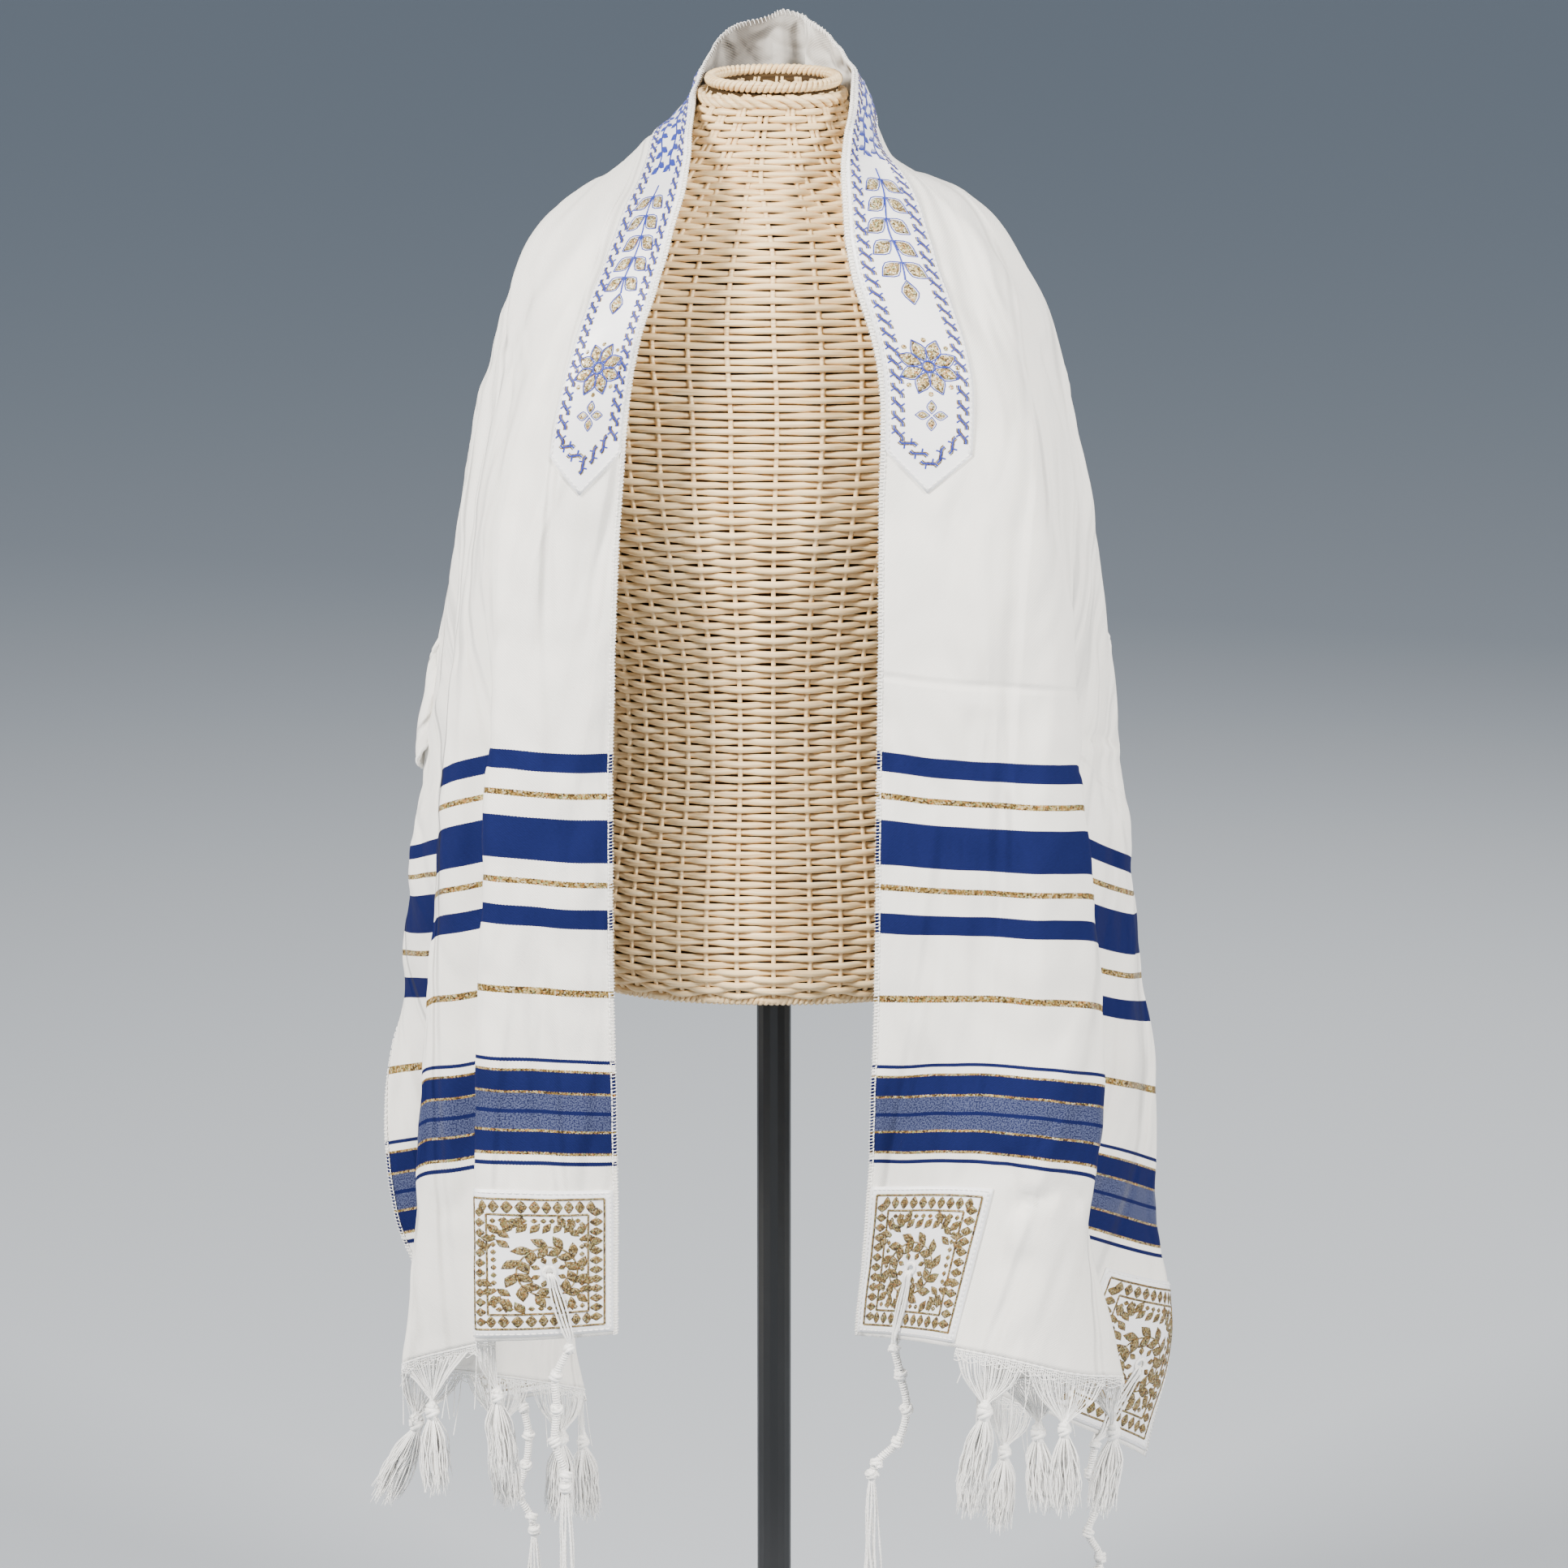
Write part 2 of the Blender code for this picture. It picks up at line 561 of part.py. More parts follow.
def make_fringe(side, sign, mat):
    """A hem strip, with its threads gathered into knotted tassels."""
    first = TRIM_INSET + PATCH_WIDTH + STRIP_CLEAR
    last = CLOTH_WIDTH - first
    columns = [first] + [t for t in WIDTHS if first + 0.001 < t < last - 0.001] + [last]
    base = bmesh.new()
    rings = []
    for t in columns:
        far = STRIP_GAP + STRIP_HEIGHT
        corners = [(STRIP_GAP, -1), (STRIP_GAP, 1), (far, 1), (far, -1)]
        rings.append([base.verts.new(past_hem(sign, t, d, h * WALL / 2)) for d, h in corners])
    for low, high in zip(rings, rings[1:]):
        for i in range(4):
            j = (i + 1) % 4
            base.faces.new((low[i], low[j], high[j], high[i]))
    base.faces.new(list(reversed(rings[0])))
    base.faces.new(rings[-1])

    locks = bmesh.new()
    pitch = (last - first) / TASSELS_PER_END
    for k, lean in enumerate(TASSEL_LEANS[side]):
        middle = first + pitch * (k + 0.5)
        roots = []
        for i in range(FAN_LOCKS):
            share = (2 * i / (FAN_LOCKS - 1) - 1) * FAN_SHARE
            roots.append(past_hem(sign, middle + pitch * share, STRIP_GAP + STRIP_HEIGHT * 0.55))
        centre = sum(roots, Vector()) / FAN_LOCKS
        tie = centre + Vector((lean.aside * 0.3, lean.ahead, -TASSEL_KNOT_DROP))
        for root in roots:
            tube(locks, [root, tie], [LOCK_RADIUS, LOCK_RADIUS * 0.8], LOCK_SIDES)
        knot(locks, tie, TASSEL_KNOT_RADIUS, 1.15)
        for i in range(TUFT_LOCKS):
            turn = 2 * math.pi * i / TUFT_LOCKS + k
            ring = Vector((math.cos(turn), math.sin(turn), 0.0))
            reach = TUFT_LENGTH * (0.94 + 0.06 * math.sin(5 * turn))
            sway = Vector((lean.aside, lean.ahead, 0.0))
            end = tie + ring * TUFT_SPREAD + sway - Vector((0, 0, reach))
            tube(locks, [tie + ring * TUFT_WAIST * 0.5, end], [LOCK_RADIUS, LOCK_RADIUS], LOCK_SIDES)
    fuse(f"fringe_{side}", base, locks, mat)


def make_corner_cord(place, side, sign, mat):
    """A doubled cord through the eyelet, knotted below the hem, with eight loose strands."""
    name = f"{place}_{side}"
    s, t = eyelet(place, sign)
    hem_t = t + CORD_SLANT[name]
    front = WALL / 2 + SEAM + TRIM_WALL + LEG_CLEAR + LEG_RADIUS
    back = -(WALL / 2 + LEG_CLEAR + LEG_RADIUS)
    lengths = [s + (sign * HALF - s) * share for share in (0.12, 0.56, 1.0)]
    across = [t + (hem_t - t) * share for share in (0.12, 0.56, 1.0)]
    outer = [on_cloth(a, b, front) for a, b in zip(lengths, across)]
    inner = [on_cloth(a, b, back) for a, b in zip(lengths, across)]
    tie = past_hem(sign, hem_t, 0.007, 0.001)
    through = [on_cloth(s, t, front * 0.8), on_cloth(s, t, back * 0.8)]
    path = [tie] + outer[::-1] + through + inner + [tie]

    base = bmesh.new()
    knot(base, tie, CORD_KNOT_RADIUS)
    extras = bmesh.new()
    tube(extras, path, [LEG_RADIUS] * len(path), LEG_SIDES)
    knots = [tie + Vector((k.aside, 0.0, -k.down)) for k in CORD_PATHS[name]]
    tube(extras, knots, [CORD_RADIUS] * len(knots), CORD_SIDES)
    for point in knots[1:]:
        knot(extras, point, CORD_KNOT_RADIUS)
    end = knots[-1]
    for i in range(CORD_STRANDS):
        turn = 2 * math.pi * i / CORD_STRANDS
        ring = Vector((math.cos(turn) * 1.2, math.sin(turn) * 0.7, 0.0)) * STRAND_SPREAD
        reach = STRAND_LENGTH * (0.93 + 0.07 * math.sin(3 * turn + len(name)))
        points = [end + ring * 0.25, end + ring - Vector((0, 0, reach))]
        tube(extras, points, [STRAND_RADIUS] * 2, LOCK_SIDES)
    fuse(f"tzitzit_{name}", base, extras, mat)


def make_shawl(mat):
    rows = [[(s, t) for t in WIDTHS] for s in LENGTHS]
    shawl = add_object("shawl_cloth", wall_mesh(rows, -WALL / 2, WALL / 2), mat)
    cut_holes(shawl, [eyelet(place, sign) for _, sign in SIDES for place in PLACES])


def make_neckband(mat):
    """The band along the neck edge, its two ends drawn to a point."""
    columns = [t for t in WIDTHS if TRIM_INSET - 1e-9 < t < TRIM_INSET + BAND_WIDTH + 1e-9]
    rows = []
    for s in [s for s in LENGTHS if abs(s) < BAND_POINT + 1e-9]:
        row = []
        for t in columns:
            off_middle = abs(2 * (t - TRIM_INSET) / BAND_WIDTH - 1)
            tip = BAND_POINT - (BAND_POINT - BAND_SHOULDER) * off_middle
            reach = tip / BAND_POINT if abs(s) > BAND_SHOULDER + 1e-9 else 1.0
            row.append((s * reach, t))
        rows.append(row)
    low = WALL / 2 + SEAM
    return add_object("neckband_atarah", wall_mesh(rows, low, low + TRIM_WALL), mat)


def make_patches(mat):
    low = WALL / 2 + SEAM
    inner = HALF - TRIM_INSET - PATCH_LENGTH - 1e-9
    outer = HALF - TRIM_INSET + 1e-9
    for side, sign in SIDES:
        for place in PLACES:
            t0 = TRIM_INSET if place == "front" else CLOTH_WIDTH - TRIM_INSET - PATCH_WIDTH
            columns = [t for t in WIDTHS if t0 - 1e-9 < t < t0 + PATCH_WIDTH + 1e-9]
            rows = [[(s, t) for t in columns] for s in LENGTHS if inner < sign * s < outer]
            patch = add_object(f"patch_{place}_{side}", wall_mesh(rows, low, low + TRIM_WALL), mat)
            cut_holes(patch, [eyelet(place, sign)])


# ---- dress form and stand ----
def form_point(ring, angle):
    c, s = math.cos(angle), math.sin(angle)
    power = 2 / FORM_SQUARENESS
    x = ring.aside + ring.half_width * math.copysign(abs(c) ** power, c)
    y = math.copysign(abs(s) ** power, s)
    middle = (ring.front + ring.back) / 2
    return Vector((x, middle + (ring.back - ring.front) / 2 * y, ring.z))


def make_form(mat):
    """A hollow-necked torso: outer skin, rolled rim and the cup inside the neck."""
    bm = bmesh.new()
    angles = [2 * math.pi * i / FORM_SIDES for i in range(FORM_SIDES)]
    neck = FORM_RINGS[0]
    loops = [[form_point(ring, a) for a in angles] for ring in reversed(FORM_RINGS)]
    inner = neck._replace(half_width=neck.half_width - NECK_CUP_WALL, front=neck.front + NECK_CUP_WALL,
                          back=neck.back - NECK_CUP_WALL)
    rims = []
    for k in range(RIM_STEPS + 1):
        turn = math.pi * k / RIM_STEPS
        inset = NECK_CUP_WALL / 2 - math.cos(turn) * (NECK_CUP_WALL / 2 + RIM_LIP)
        rise = math.sin(turn) * RIM_RADIUS + RIM_RISE
        rims.append(neck._replace(z=neck.z + rise, half_width=neck.half_width - inset,
                                  front=neck.front + inset, back=neck.back - inset))
    rims.append(inner._replace(z=neck.z - RIM_RISE))
    rims.append(inner._replace(z=neck.z - NECK_CUP_DEPTH))
    loops += [[form_point(ring, a) for a in angles] for ring in rims]
    made = [[bm.verts.new(p) for p in loop] for loop in loops]
    for low, high in zip(made, made[1:]):
        for i in range(FORM_SIDES):
            j = (i + 1) % FORM_SIDES
            bm.faces.new((low[i], low[j], high[j], high[i]))
    bm.faces.new(list(reversed(made[0])))
    bm.faces.new(made[-1])
    return add_object("dress_form", bm, mat)


def lathe(name, profile, mat, sides=32):
    """Closed solid of revolution about the Z axis through radius and height pairs."""
    bm = bmesh.new()
    verts = [bm.verts.new((r, 0.0, z)) for r, z in profile]
    edges = [bm.edges.new(pair) for pair in zip(verts, verts[1:])]
    bmesh.ops.spin(bm, geom=verts + edges, axis=(0, 0, 1), cent=(0, 0, 0), angle=2 * math.pi,
                   steps=sides, use_merge=True)
    bmesh.ops.remove_doubles(bm, verts=bm.verts, dist=1e-6)
    return add_object(name, bm, mat)


def make_stand(mat):
    top = FORM_BOTTOM - SEAM
    lathe("stand_pole", [
        (0.0, BASE_HEIGHT + SEAM),
        (COLLAR_RADIUS, BASE_HEIGHT + SEAM),
        (COLLAR_RADIUS, BASE_HEIGHT + COLLAR_HEIGHT - 0.004),
        (COLLAR_RADIUS - 0.005, BASE_HEIGHT + COLLAR_HEIGHT),
        (POLE_RADIUS, BASE_HEIGHT + COLLAR_HEIGHT + 0.002),
        (POLE_RADIUS, top - 0.012),
        (COLLAR_RADIUS, top - 0.008),
        (COLLAR_RADIUS, top),
        (0.0, top),
    ], mat, 14)
    lathe("stand_base", [
        (0.0, 0.0),
        (BASE_RADIUS - 0.003, 0.0),
        (BASE_RADIUS, 0.003),
        (BASE_RADIUS, BASE_HEIGHT - 0.007),
        (BASE_RADIUS - 0.012, BASE_HEIGHT - 0.002),
        (BASE_RADIUS - 0.040, BASE_HEIGHT),
        (0.0, BASE_HEIGHT),
    ], mat, 28)


def build():
    clear_scene()
    cloth = material("woven_cloth", COLOURS["cloth"], 0.9)
    satin = material("satin", COLOURS["satin"], 0.5)
    cotton = material("cotton", COLOURS["cotton"], 0.85)
    make_shawl(cloth)
    make_neckband(satin)
    make_patches(satin)
    for side, sign in SIDES:
        make_fringe(side, sign, cotton)
        for place in PLACES:
            make_corner_cord(place, side, sign, cotton)
    make_form(material("wicker", COLOURS["wicker"], 0.7))
    make_stand(material("painted_iron", COLOURS["iron"], 0.45, 0.6))


build()
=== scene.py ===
import functools
import math
import random

import bmesh
import bpy
import numpy
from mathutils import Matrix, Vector, noise


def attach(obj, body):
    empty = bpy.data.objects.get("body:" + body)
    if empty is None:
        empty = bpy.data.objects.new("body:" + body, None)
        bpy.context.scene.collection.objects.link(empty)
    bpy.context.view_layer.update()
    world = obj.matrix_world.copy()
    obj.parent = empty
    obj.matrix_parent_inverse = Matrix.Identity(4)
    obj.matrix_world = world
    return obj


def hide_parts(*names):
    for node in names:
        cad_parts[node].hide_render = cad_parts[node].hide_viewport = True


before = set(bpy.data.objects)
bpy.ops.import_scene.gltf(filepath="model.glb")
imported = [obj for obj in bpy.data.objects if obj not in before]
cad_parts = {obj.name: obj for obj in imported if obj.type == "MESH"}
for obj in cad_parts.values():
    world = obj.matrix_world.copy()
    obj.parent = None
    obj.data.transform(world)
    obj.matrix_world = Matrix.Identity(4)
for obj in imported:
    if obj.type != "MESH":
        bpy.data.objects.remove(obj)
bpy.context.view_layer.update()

scene = bpy.context.scene
fullTurn = 2 * math.pi


def linearColour(hexText):
    parts = [int(hexText[k:k + 2], 16) / 255 for k in (1, 3, 5)]
    return tuple(p / 12.92 if p <= 0.04045 else ((p + 0.055) / 1.055) ** 2.4 for p in parts) + (1.0,)


# each socket gets a number, a hex colour, an output of another node, or the first of its outputs
def fillSockets(node, inputs):
    for socket, value in inputs.items():
        if isinstance(value, bpy.types.bpy_prop_collection):
            value = value[0]
        if isinstance(value, bpy.types.NodeSocket):
            node.id_data.links.new(value, node.inputs[socket])
        else:
            node.inputs[socket].default_value = linearColour(value) if isinstance(value, str) else value


def addNode(tree, kind, inputs=(), stops=(), steps="LINEAR", **settings):  # gives back the node's outputs
    node = tree.nodes.new("ShaderNode" + kind)
    for name, value in settings.items():
        setattr(node, name, value)
    fillSockets(node, inputs if isinstance(inputs, dict) else dict(enumerate(inputs)))
    if stops:  # places and colours of a ramp
        ramp = node.color_ramp
        ramp.interpolation = steps
        while len(ramp.elements) < len(stops):
            ramp.elements.new(0.5)
        for element, (position, colour) in zip(ramp.elements, stops):
            element.position = position
            element.color = linearColour(colour)
    return node.outputs


def newMaterial(name):
    material = bpy.data.materials.new(name)
    material.use_nodes = True
    tree = material.node_tree
    return material, functools.partial(addNode, tree), tree.nodes["Principled BSDF"]


def linkPiece(name, mesh, material):
    mesh.shade_smooth()
    mesh.materials.clear()
    mesh.materials.append(material)
    piece = bpy.data.objects.new(name, mesh)
    scene.collection.objects.link(piece)
    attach(piece, "root")
    return piece


def addPiece(name, bm, material, turnOut=True):
    if turnOut:
        bmesh.ops.recalc_face_normals(bm, faces=bm.faces)
    mesh = bpy.data.meshes.new(name)
    bm.to_mesh(mesh)
    bm.free()
    return linkPiece(name, mesh, material)


def threadPiece(name, paths, material, roundness=0):  # each path: its points, then one radius or one a point
    curve = bpy.data.curves.new(name + "Path", "CURVE")
    curve.dimensions = "3D"
    curve.bevel_depth = 1.0
    curve.bevel_resolution = roundness
    curve.use_fill_caps = True
    for points, radius in paths:
        line = curve.splines.new("POLY")
        line.points.add(len(points) - 1)
        flat = numpy.ones((len(points), 4), dtype=numpy.float32)
        flat[:, :3] = numpy.asarray(points, dtype=numpy.float32)
        line.points.foreach_set("co", flat.ravel())
        radii = numpy.broadcast_to(numpy.asarray(radius, dtype=numpy.float32), (len(points),))
        line.points.foreach_set("radius", numpy.ascontiguousarray(radii))
    carrier = bpy.data.objects.new(name + "Path", curve)
    scene.collection.objects.link(carrier)
    bpy.context.view_layer.update()
    mesh = bpy.data.meshes.new_from_object(carrier.evaluated_get(bpy.context.evaluated_depsgraph_get()))
    bpy.data.objects.remove(carrier)
    bpy.data.curves.remove(curve)
    return linkPiece(name, mesh, material)


def metres(rows):  # the tables below are in millimetres
    return [[value / 1000 for value in row] for row in rows]


clothWidth, halfLength = 0.457, 0.9145
trimInset = 0.003
bandWidth, bandShoulder, bandPoint = 0.050, 0.352, 0.376
patchWidth, patchLength = 0.0885, 0.100
eyeletFromSide, eyeletFromHem, eyeletHole = 0.043, 0.048, 0.0056

# the neck edge of the cloth, from the centre back down each front: length s along it, then x, y and z
rightEdge = [
    (0, 3, 68, 1271), (34, 32, 45, 1257), (81, 49, 0, 1245), (133, 46, -46, 1217), (172, 42, -77, 1191),
    (241, 47, -112, 1131), (297, 62, -128, 1079), (394, 64, -135, 981), (534, 63.5, -135, 837.5),
    (734, 61.5, -130, 633.5), (812, 59, -118, 554), (914.5, 52, -95, 449),
]
leftEdge = [
    (34, 31, 50, 1254), (81, 47, 4, 1232), (133, 49, -50, 1207), (172, 53, -86, 1180),
    (241, 70, -120, 1123), (297, 83, -131, 1078), (394, 93, -135, 979), (534, 98.5, -135, 836),
    (734, 98.5, -135, 637), (812, 97.5, -132, 556), (914.5, 98.5, -128, 461),
]
# the cloth across its width at chosen lengths s: distance t from the neck edge, x, y, and the drop below that edge
cape = {
    0: [(0, 3, 68, 0), (50, 4, 64, 50), (100, 2, 80, 97), (160, 1, 101, 153), (250, 0, 115, 241),
        (350, 0, 120, 341), (457, 0, 128, 446)],
    70: [(0, 46, 10, 0), (50, 56, 46, 33), (100, 61, 78, 73), (160, 65, 101, 128), (250, 68, 114, 217),
        (350, 70, 122, 316), (457, 73, 133, 420)],
    140: [(0, 45, -52, 0), (50, 70, -14, 14), (100, 95, 27, 32), (160, 120, 72, 66), (250, 133, 108, 148),
        (350, 138, 116, 247), (457, 142, 120, 352)],
    210: [(0, 50, -100, 0), (50, 92, -80, 7), (100, 132, -50, 22), (160, 158, -2, 52), (250, 177, 44, 125),
        (350, 187, 72, 218), (457, 195, 88, 322)],
    300: [(0, 70, -129, 0), (50, 118, -128, 3), (100, 153, -100, 12), (160, 176, -50, 33),
        (250, 192, 18, 85), (350, 204, 56, 175), (457, 222, 50, 279)],
}
rightFall = {
    400: [(0, 64, -135, 0), (65, 128, -142, 4), (115, 170, -120, 12), (160, 184, -80, 30),
        (220, 196, -28, 68), (290, 206, 30, 120), (370, 212, 76, 176), (457, 188, 104, 216)],
    534: [(0, 63.5, -135, 0), (65, 126, -148, 4), (115, 176, -135, 9), (136, 190, -118, 13),
        (170, 172, -92, 30), (212, 166, -60, 50), (262, 192, -22, 78), (320, 221, 22, 104),
        (390, 214, 86, 120), (457, 172, 122, 130)],
    734: [(0, 61.5, -130, 0), (60, 119, -148, -6), (120, 178, -146, -2), (152, 206, -125, 8),
        (190, 182, -100, 22), (238, 158, -62, 45), (290, 182, -18, 75), (350, 224, 22, 100),
        (405, 240, 66, 120), (457, 224, 110, 128)],
    914.5: [(0, 52, -95, 0), (45, 81, -127, -8), (90, 111, -160, -14), (130, 149, -166, -8),
        (172, 194, -148, 8), (194, 219.5, -123, 17.5), (235, 184, -102, 26), (292, 133, -72, 38),
        (336, 148, -34, 62), (366, 171, -10, 80), (410, 206, 22, 108), (457, 238, 55, 135)],
}
leftFall = {
    400: [(0, 93, -135, 0), (50, 140, -140, 2), (90, 172, -118, 8), (140, 188, -75, 28),
        (200, 196, -25, 60), (280, 206, 30, 115), (370, 222, 70, 175), (457, 204, 94, 214)],
    534: [(0, 98.5, -135, 0), (40, 138, -147, -3), (78, 175, -138, -4), (101, 163, -121, 2),
        (124, 178, -104, 8), (158, 206, -85, 21), (200, 184, -58, 42), (245, 176, -20, 62),
        (300, 203, 12, 85), (342, 223.5, 44, 100), (400, 212, 92, 112), (457, 174, 122, 118)],
    734: [(0, 98.5, -135, 0), (45, 143, -147, -5), (87, 184, -140, -6), (109, 171, -122, 0),
        (132, 186, -105, 8), (172, 222.5, -86, 20), (214, 188, -68, 40), (262, 152, -36, 60),
        (312, 148, 10, 80), (362, 176, 46, 95), (410, 212, 66, 106), (457, 243, 74, 114)],
    914.5: [(0, 98.5, -128, 0), (46, 143, -140, 0), (92, 187, -134, 3), (114, 175, -116, 8),
        (137, 191, -101, 16), (186, 236, -84, 35), (226, 200, -66, 45), (272, 158, -46, 58),
        (316, 126, -14, 75), (362, 134, 30, 92), (410, 162, 64, 108), (457, 196, 84, 122)],
}
# where the cloth stands further out or lies lower than its sections: s, t, reach along and across, out, rise
swells = [
    (-122, 70, 35, 45, 6, 5), (-188, 142, 50, 55, 11, 5), (-350, 370, 80, 130, 5.5, 0),
    (-548, 370, 60, 60, 11, 0), (-665, 457, 85, 70, 22, 0), (-790, 457, 50, 60, 9, 0),
    (-31, 0, 11, 30, 0, 4.6), (-8, 0, 8, 30, 0, -2.2), (6, 0, 5, 30, 0, 1.2), (28, 0, 9, 30, 0, 4.4),
    (68, 0, 15, 30, -2, -1), (133, 86, 35, 50, -8, -8), (215, 165, 40, 50, 6, 0), (350, 260, 60, 130, 5, 0),
    (500, 340, 70, 60, 9, 0), (660, 390, 95, 60, 14, 0), (835, 440, 75, 60, 32, 0),
    (-618, 398, 60, 52, 21.5, 0), (-320, 445, 30, 30, 5, 0), (405, 295, 50, 45, 5, 0),
    (575, 352, 35, 40, 5.5, 0),
]
# soft troughs (negative rise) and ridges: s and t of both ends, width, rise
creases = [
    # standing collar behind the neck
    (12, 0, 14, 85, 4.2, 8), (0, 0, 3, 85, 6, -6.2), (26, 4, 22, 70, 6, -3), (-20, 2, -12, 40, 4, 3),
    (-40, 4, -20, 34, 4, 2.2), (-52, 10, -24, 48, 4, -2.4), (-66, 10, -32, 60, 4.5, 2.4),
    (-78, 22, -44, 68, 5.5, -2.2), (36, 4, 32, 50, 5, 2.2), (50, 6, 60, 50, 5, -2),
    (64, 14, 78, 56, 5.5, 1.8),
    # the turn of each shoulder
    (-105, 120, -270, 132, 12, 3.4), (105, 120, 260, 136, 12, 2.8), (-205, 95, -330, 150, 9, -1.6),
    (200, 100, 330, 165, 9, -1.8), (-280, 165, -520, 190, 11, 2.2), (270, 185, 420, 200, 11, 2.2),
    # right shoulder and front
    (180, 60, 260, 130, 12, 1.6), (235, 58, 345, 90, 10, -1.2), (300, 90, 480, 112, 12, 2.2),
    (487, 60, 488, 90, 4, -1.1), (497, 50, 503, 82, 5, 0.8), (528, 122, 545, 158, 5, -1.4),
    (478, 238, 436, 322, 3.4, -2), (487, 238, 445, 320, 3.6, 1),
    # long folds that run down from the left shoulder
    (-225, 150, -366, 90, 4.6, -1.8), (-366, 90, -545, 75.5, 3.8, -2.2), (-370, 80, -545, 67, 4.2, 1.2),
    (-235, 158, -545, 150, 4.6, -1.8), (420, 30, 620, 36, 14, 1.4), (400, 75, 560, 78, 8, -1.6),
    (640, 20, 860, 30, 12, 1.4), (700, 128, 840, 120, 9, 2), (600, 70, 800, 74, 13, -1.6),
    (560, 95, 780, 102, 12, 1.8), (795, 96, 822, 112, 5, -2.6), (820, 114, 806, 134, 5, -2.4),
    (826, 102, 846, 116, 5.5, 2), (822, 112, 800, 128, 5, -2.2), (806, 104, 808, 122, 6, 1.2),
    (800, 134, 816, 144, 4.5, -1.8), (816, 144, 800, 156, 4.5, -1.8), (822, 96, 900, 98, 6, -1.2),
    (640, 205, 880, 215, 11, -2.6), (430, 250, 860, 262, 14, 3), (470, 340, 700, 360, 14, -3),
    # left shoulder and front
    (-180, 55, -270, 120, 12, 1.6), (-255, 60, -360, 78, 9, -1.2), (-310, 80, -470, 92, 11, 2.2),
    (-440, 16, -640, 22, 12, 1.4), (-385, 40, -560, 62, 8, -1.6), (-405, 100, -520, 112, 6, -1.4),
    (-560, 44, -800, 48, 11, -1.3), (-620, 64, -790, 70, 9, 1.3), (-470, 134, -900, 150, 10, 2),
    (-580, 158, -880, 170, 10, -2), (-806, 136, -824, 150, 5, -1.6), (-824, 150, -804, 164, 5, -1.6),
    (-430, 240, -820, 252, 14, 2.8), (-480, 330, -700, 350, 14, -2.8),
    # the back, where it hangs between the shoulder blades
    (-150, 170, -60, 290, 18, 3.4), (150, 170, 70, 300, 18, 3.4), (-105, 230, 20, 330, 16, -3),
    (110, 240, 10, 345, 16, -2.8), (-240, 220, -200, 440, 17, 5), (-175, 260, -150, 450, 15, -4.2),
    (-110, 330, -90, 452, 16, 4.4), (-20, 370, -12, 452, 17, -4), (70, 350, 82, 452, 16, 4.4),
    (150, 270, 165, 450, 15, -4.2), (230, 230, 215, 440, 17, 5), (-310, 260, -330, 450, 15, -4),
    (310, 260, 325, 450, 15, -4), (-360, 190, -420, 320, 13, 3.2), (350, 190, 430, 330, 13, 3.2),
]
clothDetail = {
    "stepsAlong": (22, 45, 12, 5, 105, 22, 1),
    "stepsAcross": (1, 14, 9, 60, 21, 1),
    "edgeBlend": 0.11,  # how far the neck edge's own line is felt across the cloth
    "creaseDepth": 1.4,
    "unevenness": 0.0009,
    "underPatch": 0.45,  # the patches keep the cloth under them flatter
    "shellThickness": 0.0010,
}


def curveThrough(keys, points, at):
    keys, points, at = (numpy.asarray(values, dtype=float) for values in (keys, points, at))
    gaps = numpy.diff(keys)
    shape = (-1,) + (1,) * (points.ndim - 1)
    rises = numpy.diff(points, axis=0) / gaps.reshape(shape)
    slopes = numpy.empty_like(points)
    slopes[0], slopes[-1] = rises[0], rises[-1]
    before, after = gaps[:-1].reshape(shape), gaps[1:].reshape(shape)
    slopes[1:-1] = (rises[:-1] * after + rises[1:] * before) / (before + after)
    i = numpy.clip(numpy.searchsorted(keys, at, side="left") - 1, 0, len(keys) - 2)
    u = ((at - keys[i]) / gaps[i]).reshape(shape)
    step = gaps[i].reshape(shape)
    u2, u3 = u * u, u * u * u
    return (points[i] * (2 * u3 - 3 * u2 + 1) + slopes[i] * step * (u3 - 2 * u2 + u)
            + points[i + 1] * (3 * u2 - 2 * u3) + slopes[i + 1] * step * (u3 - u2))


def middleOfCloth(lengths, widths):
    rail = [(-s, (-x, y, z)) for s, x, y, z in reversed(metres(leftEdge))]
    rail += [(s, (x, y, z)) for s, x, y, z in metres(rightEdge)]
    sections = []
    for side, fall in ((-1, leftFall), (1, rightFall)):
        for s, folds in {**cape, **fall}.items():
            if side > 0 or s:
                rows = metres(folds)
                sections.append((side * s / 1000, [row[0] for row in rows],
                                 [(side * x, y, -drop) for _, x, y, drop in rows]))
    sections.sort(key=lambda row: row[0])
    keys = [row[0] for row in sections]
    across = numpy.stack([curveThrough(row[1], row[2], widths) for row in sections])
    starts = numpy.array([row[2][0] for row in sections])
    place = curveThrough(keys, across, lengths)
    line = curveThrough([r[0] for r in rail], [r[1] for r in rail], lengths)
    shift = line - curveThrough(keys, starts, lengths)
    ease = numpy.maximum(0.0, 1.0 - numpy.asarray(widths) / clothDetail["edgeBlend"]) ** 2
    place[..., 2] += line[:, None, 2]
    place[..., :2] += shift[:, None, :2] * ease[None, :, None]
    s, t = numpy.meshgrid(lengths, widths, indexing="ij")
    for middleS, middleT, along, across, out, rise in metres(swells):
        share = numpy.exp(-((s - middleS) / along) ** 2 - ((t - middleT) / across) ** 2)
        place[..., 0] += math.copysign(out, out * middleS) * share
        place[..., 2] += rise * share
    return place


def facings(place):
    out = numpy.cross(numpy.gradient(place, axis=0), numpy.gradient(place, axis=1))
    return out / numpy.linalg.norm(out, axis=2, keepdims=True)


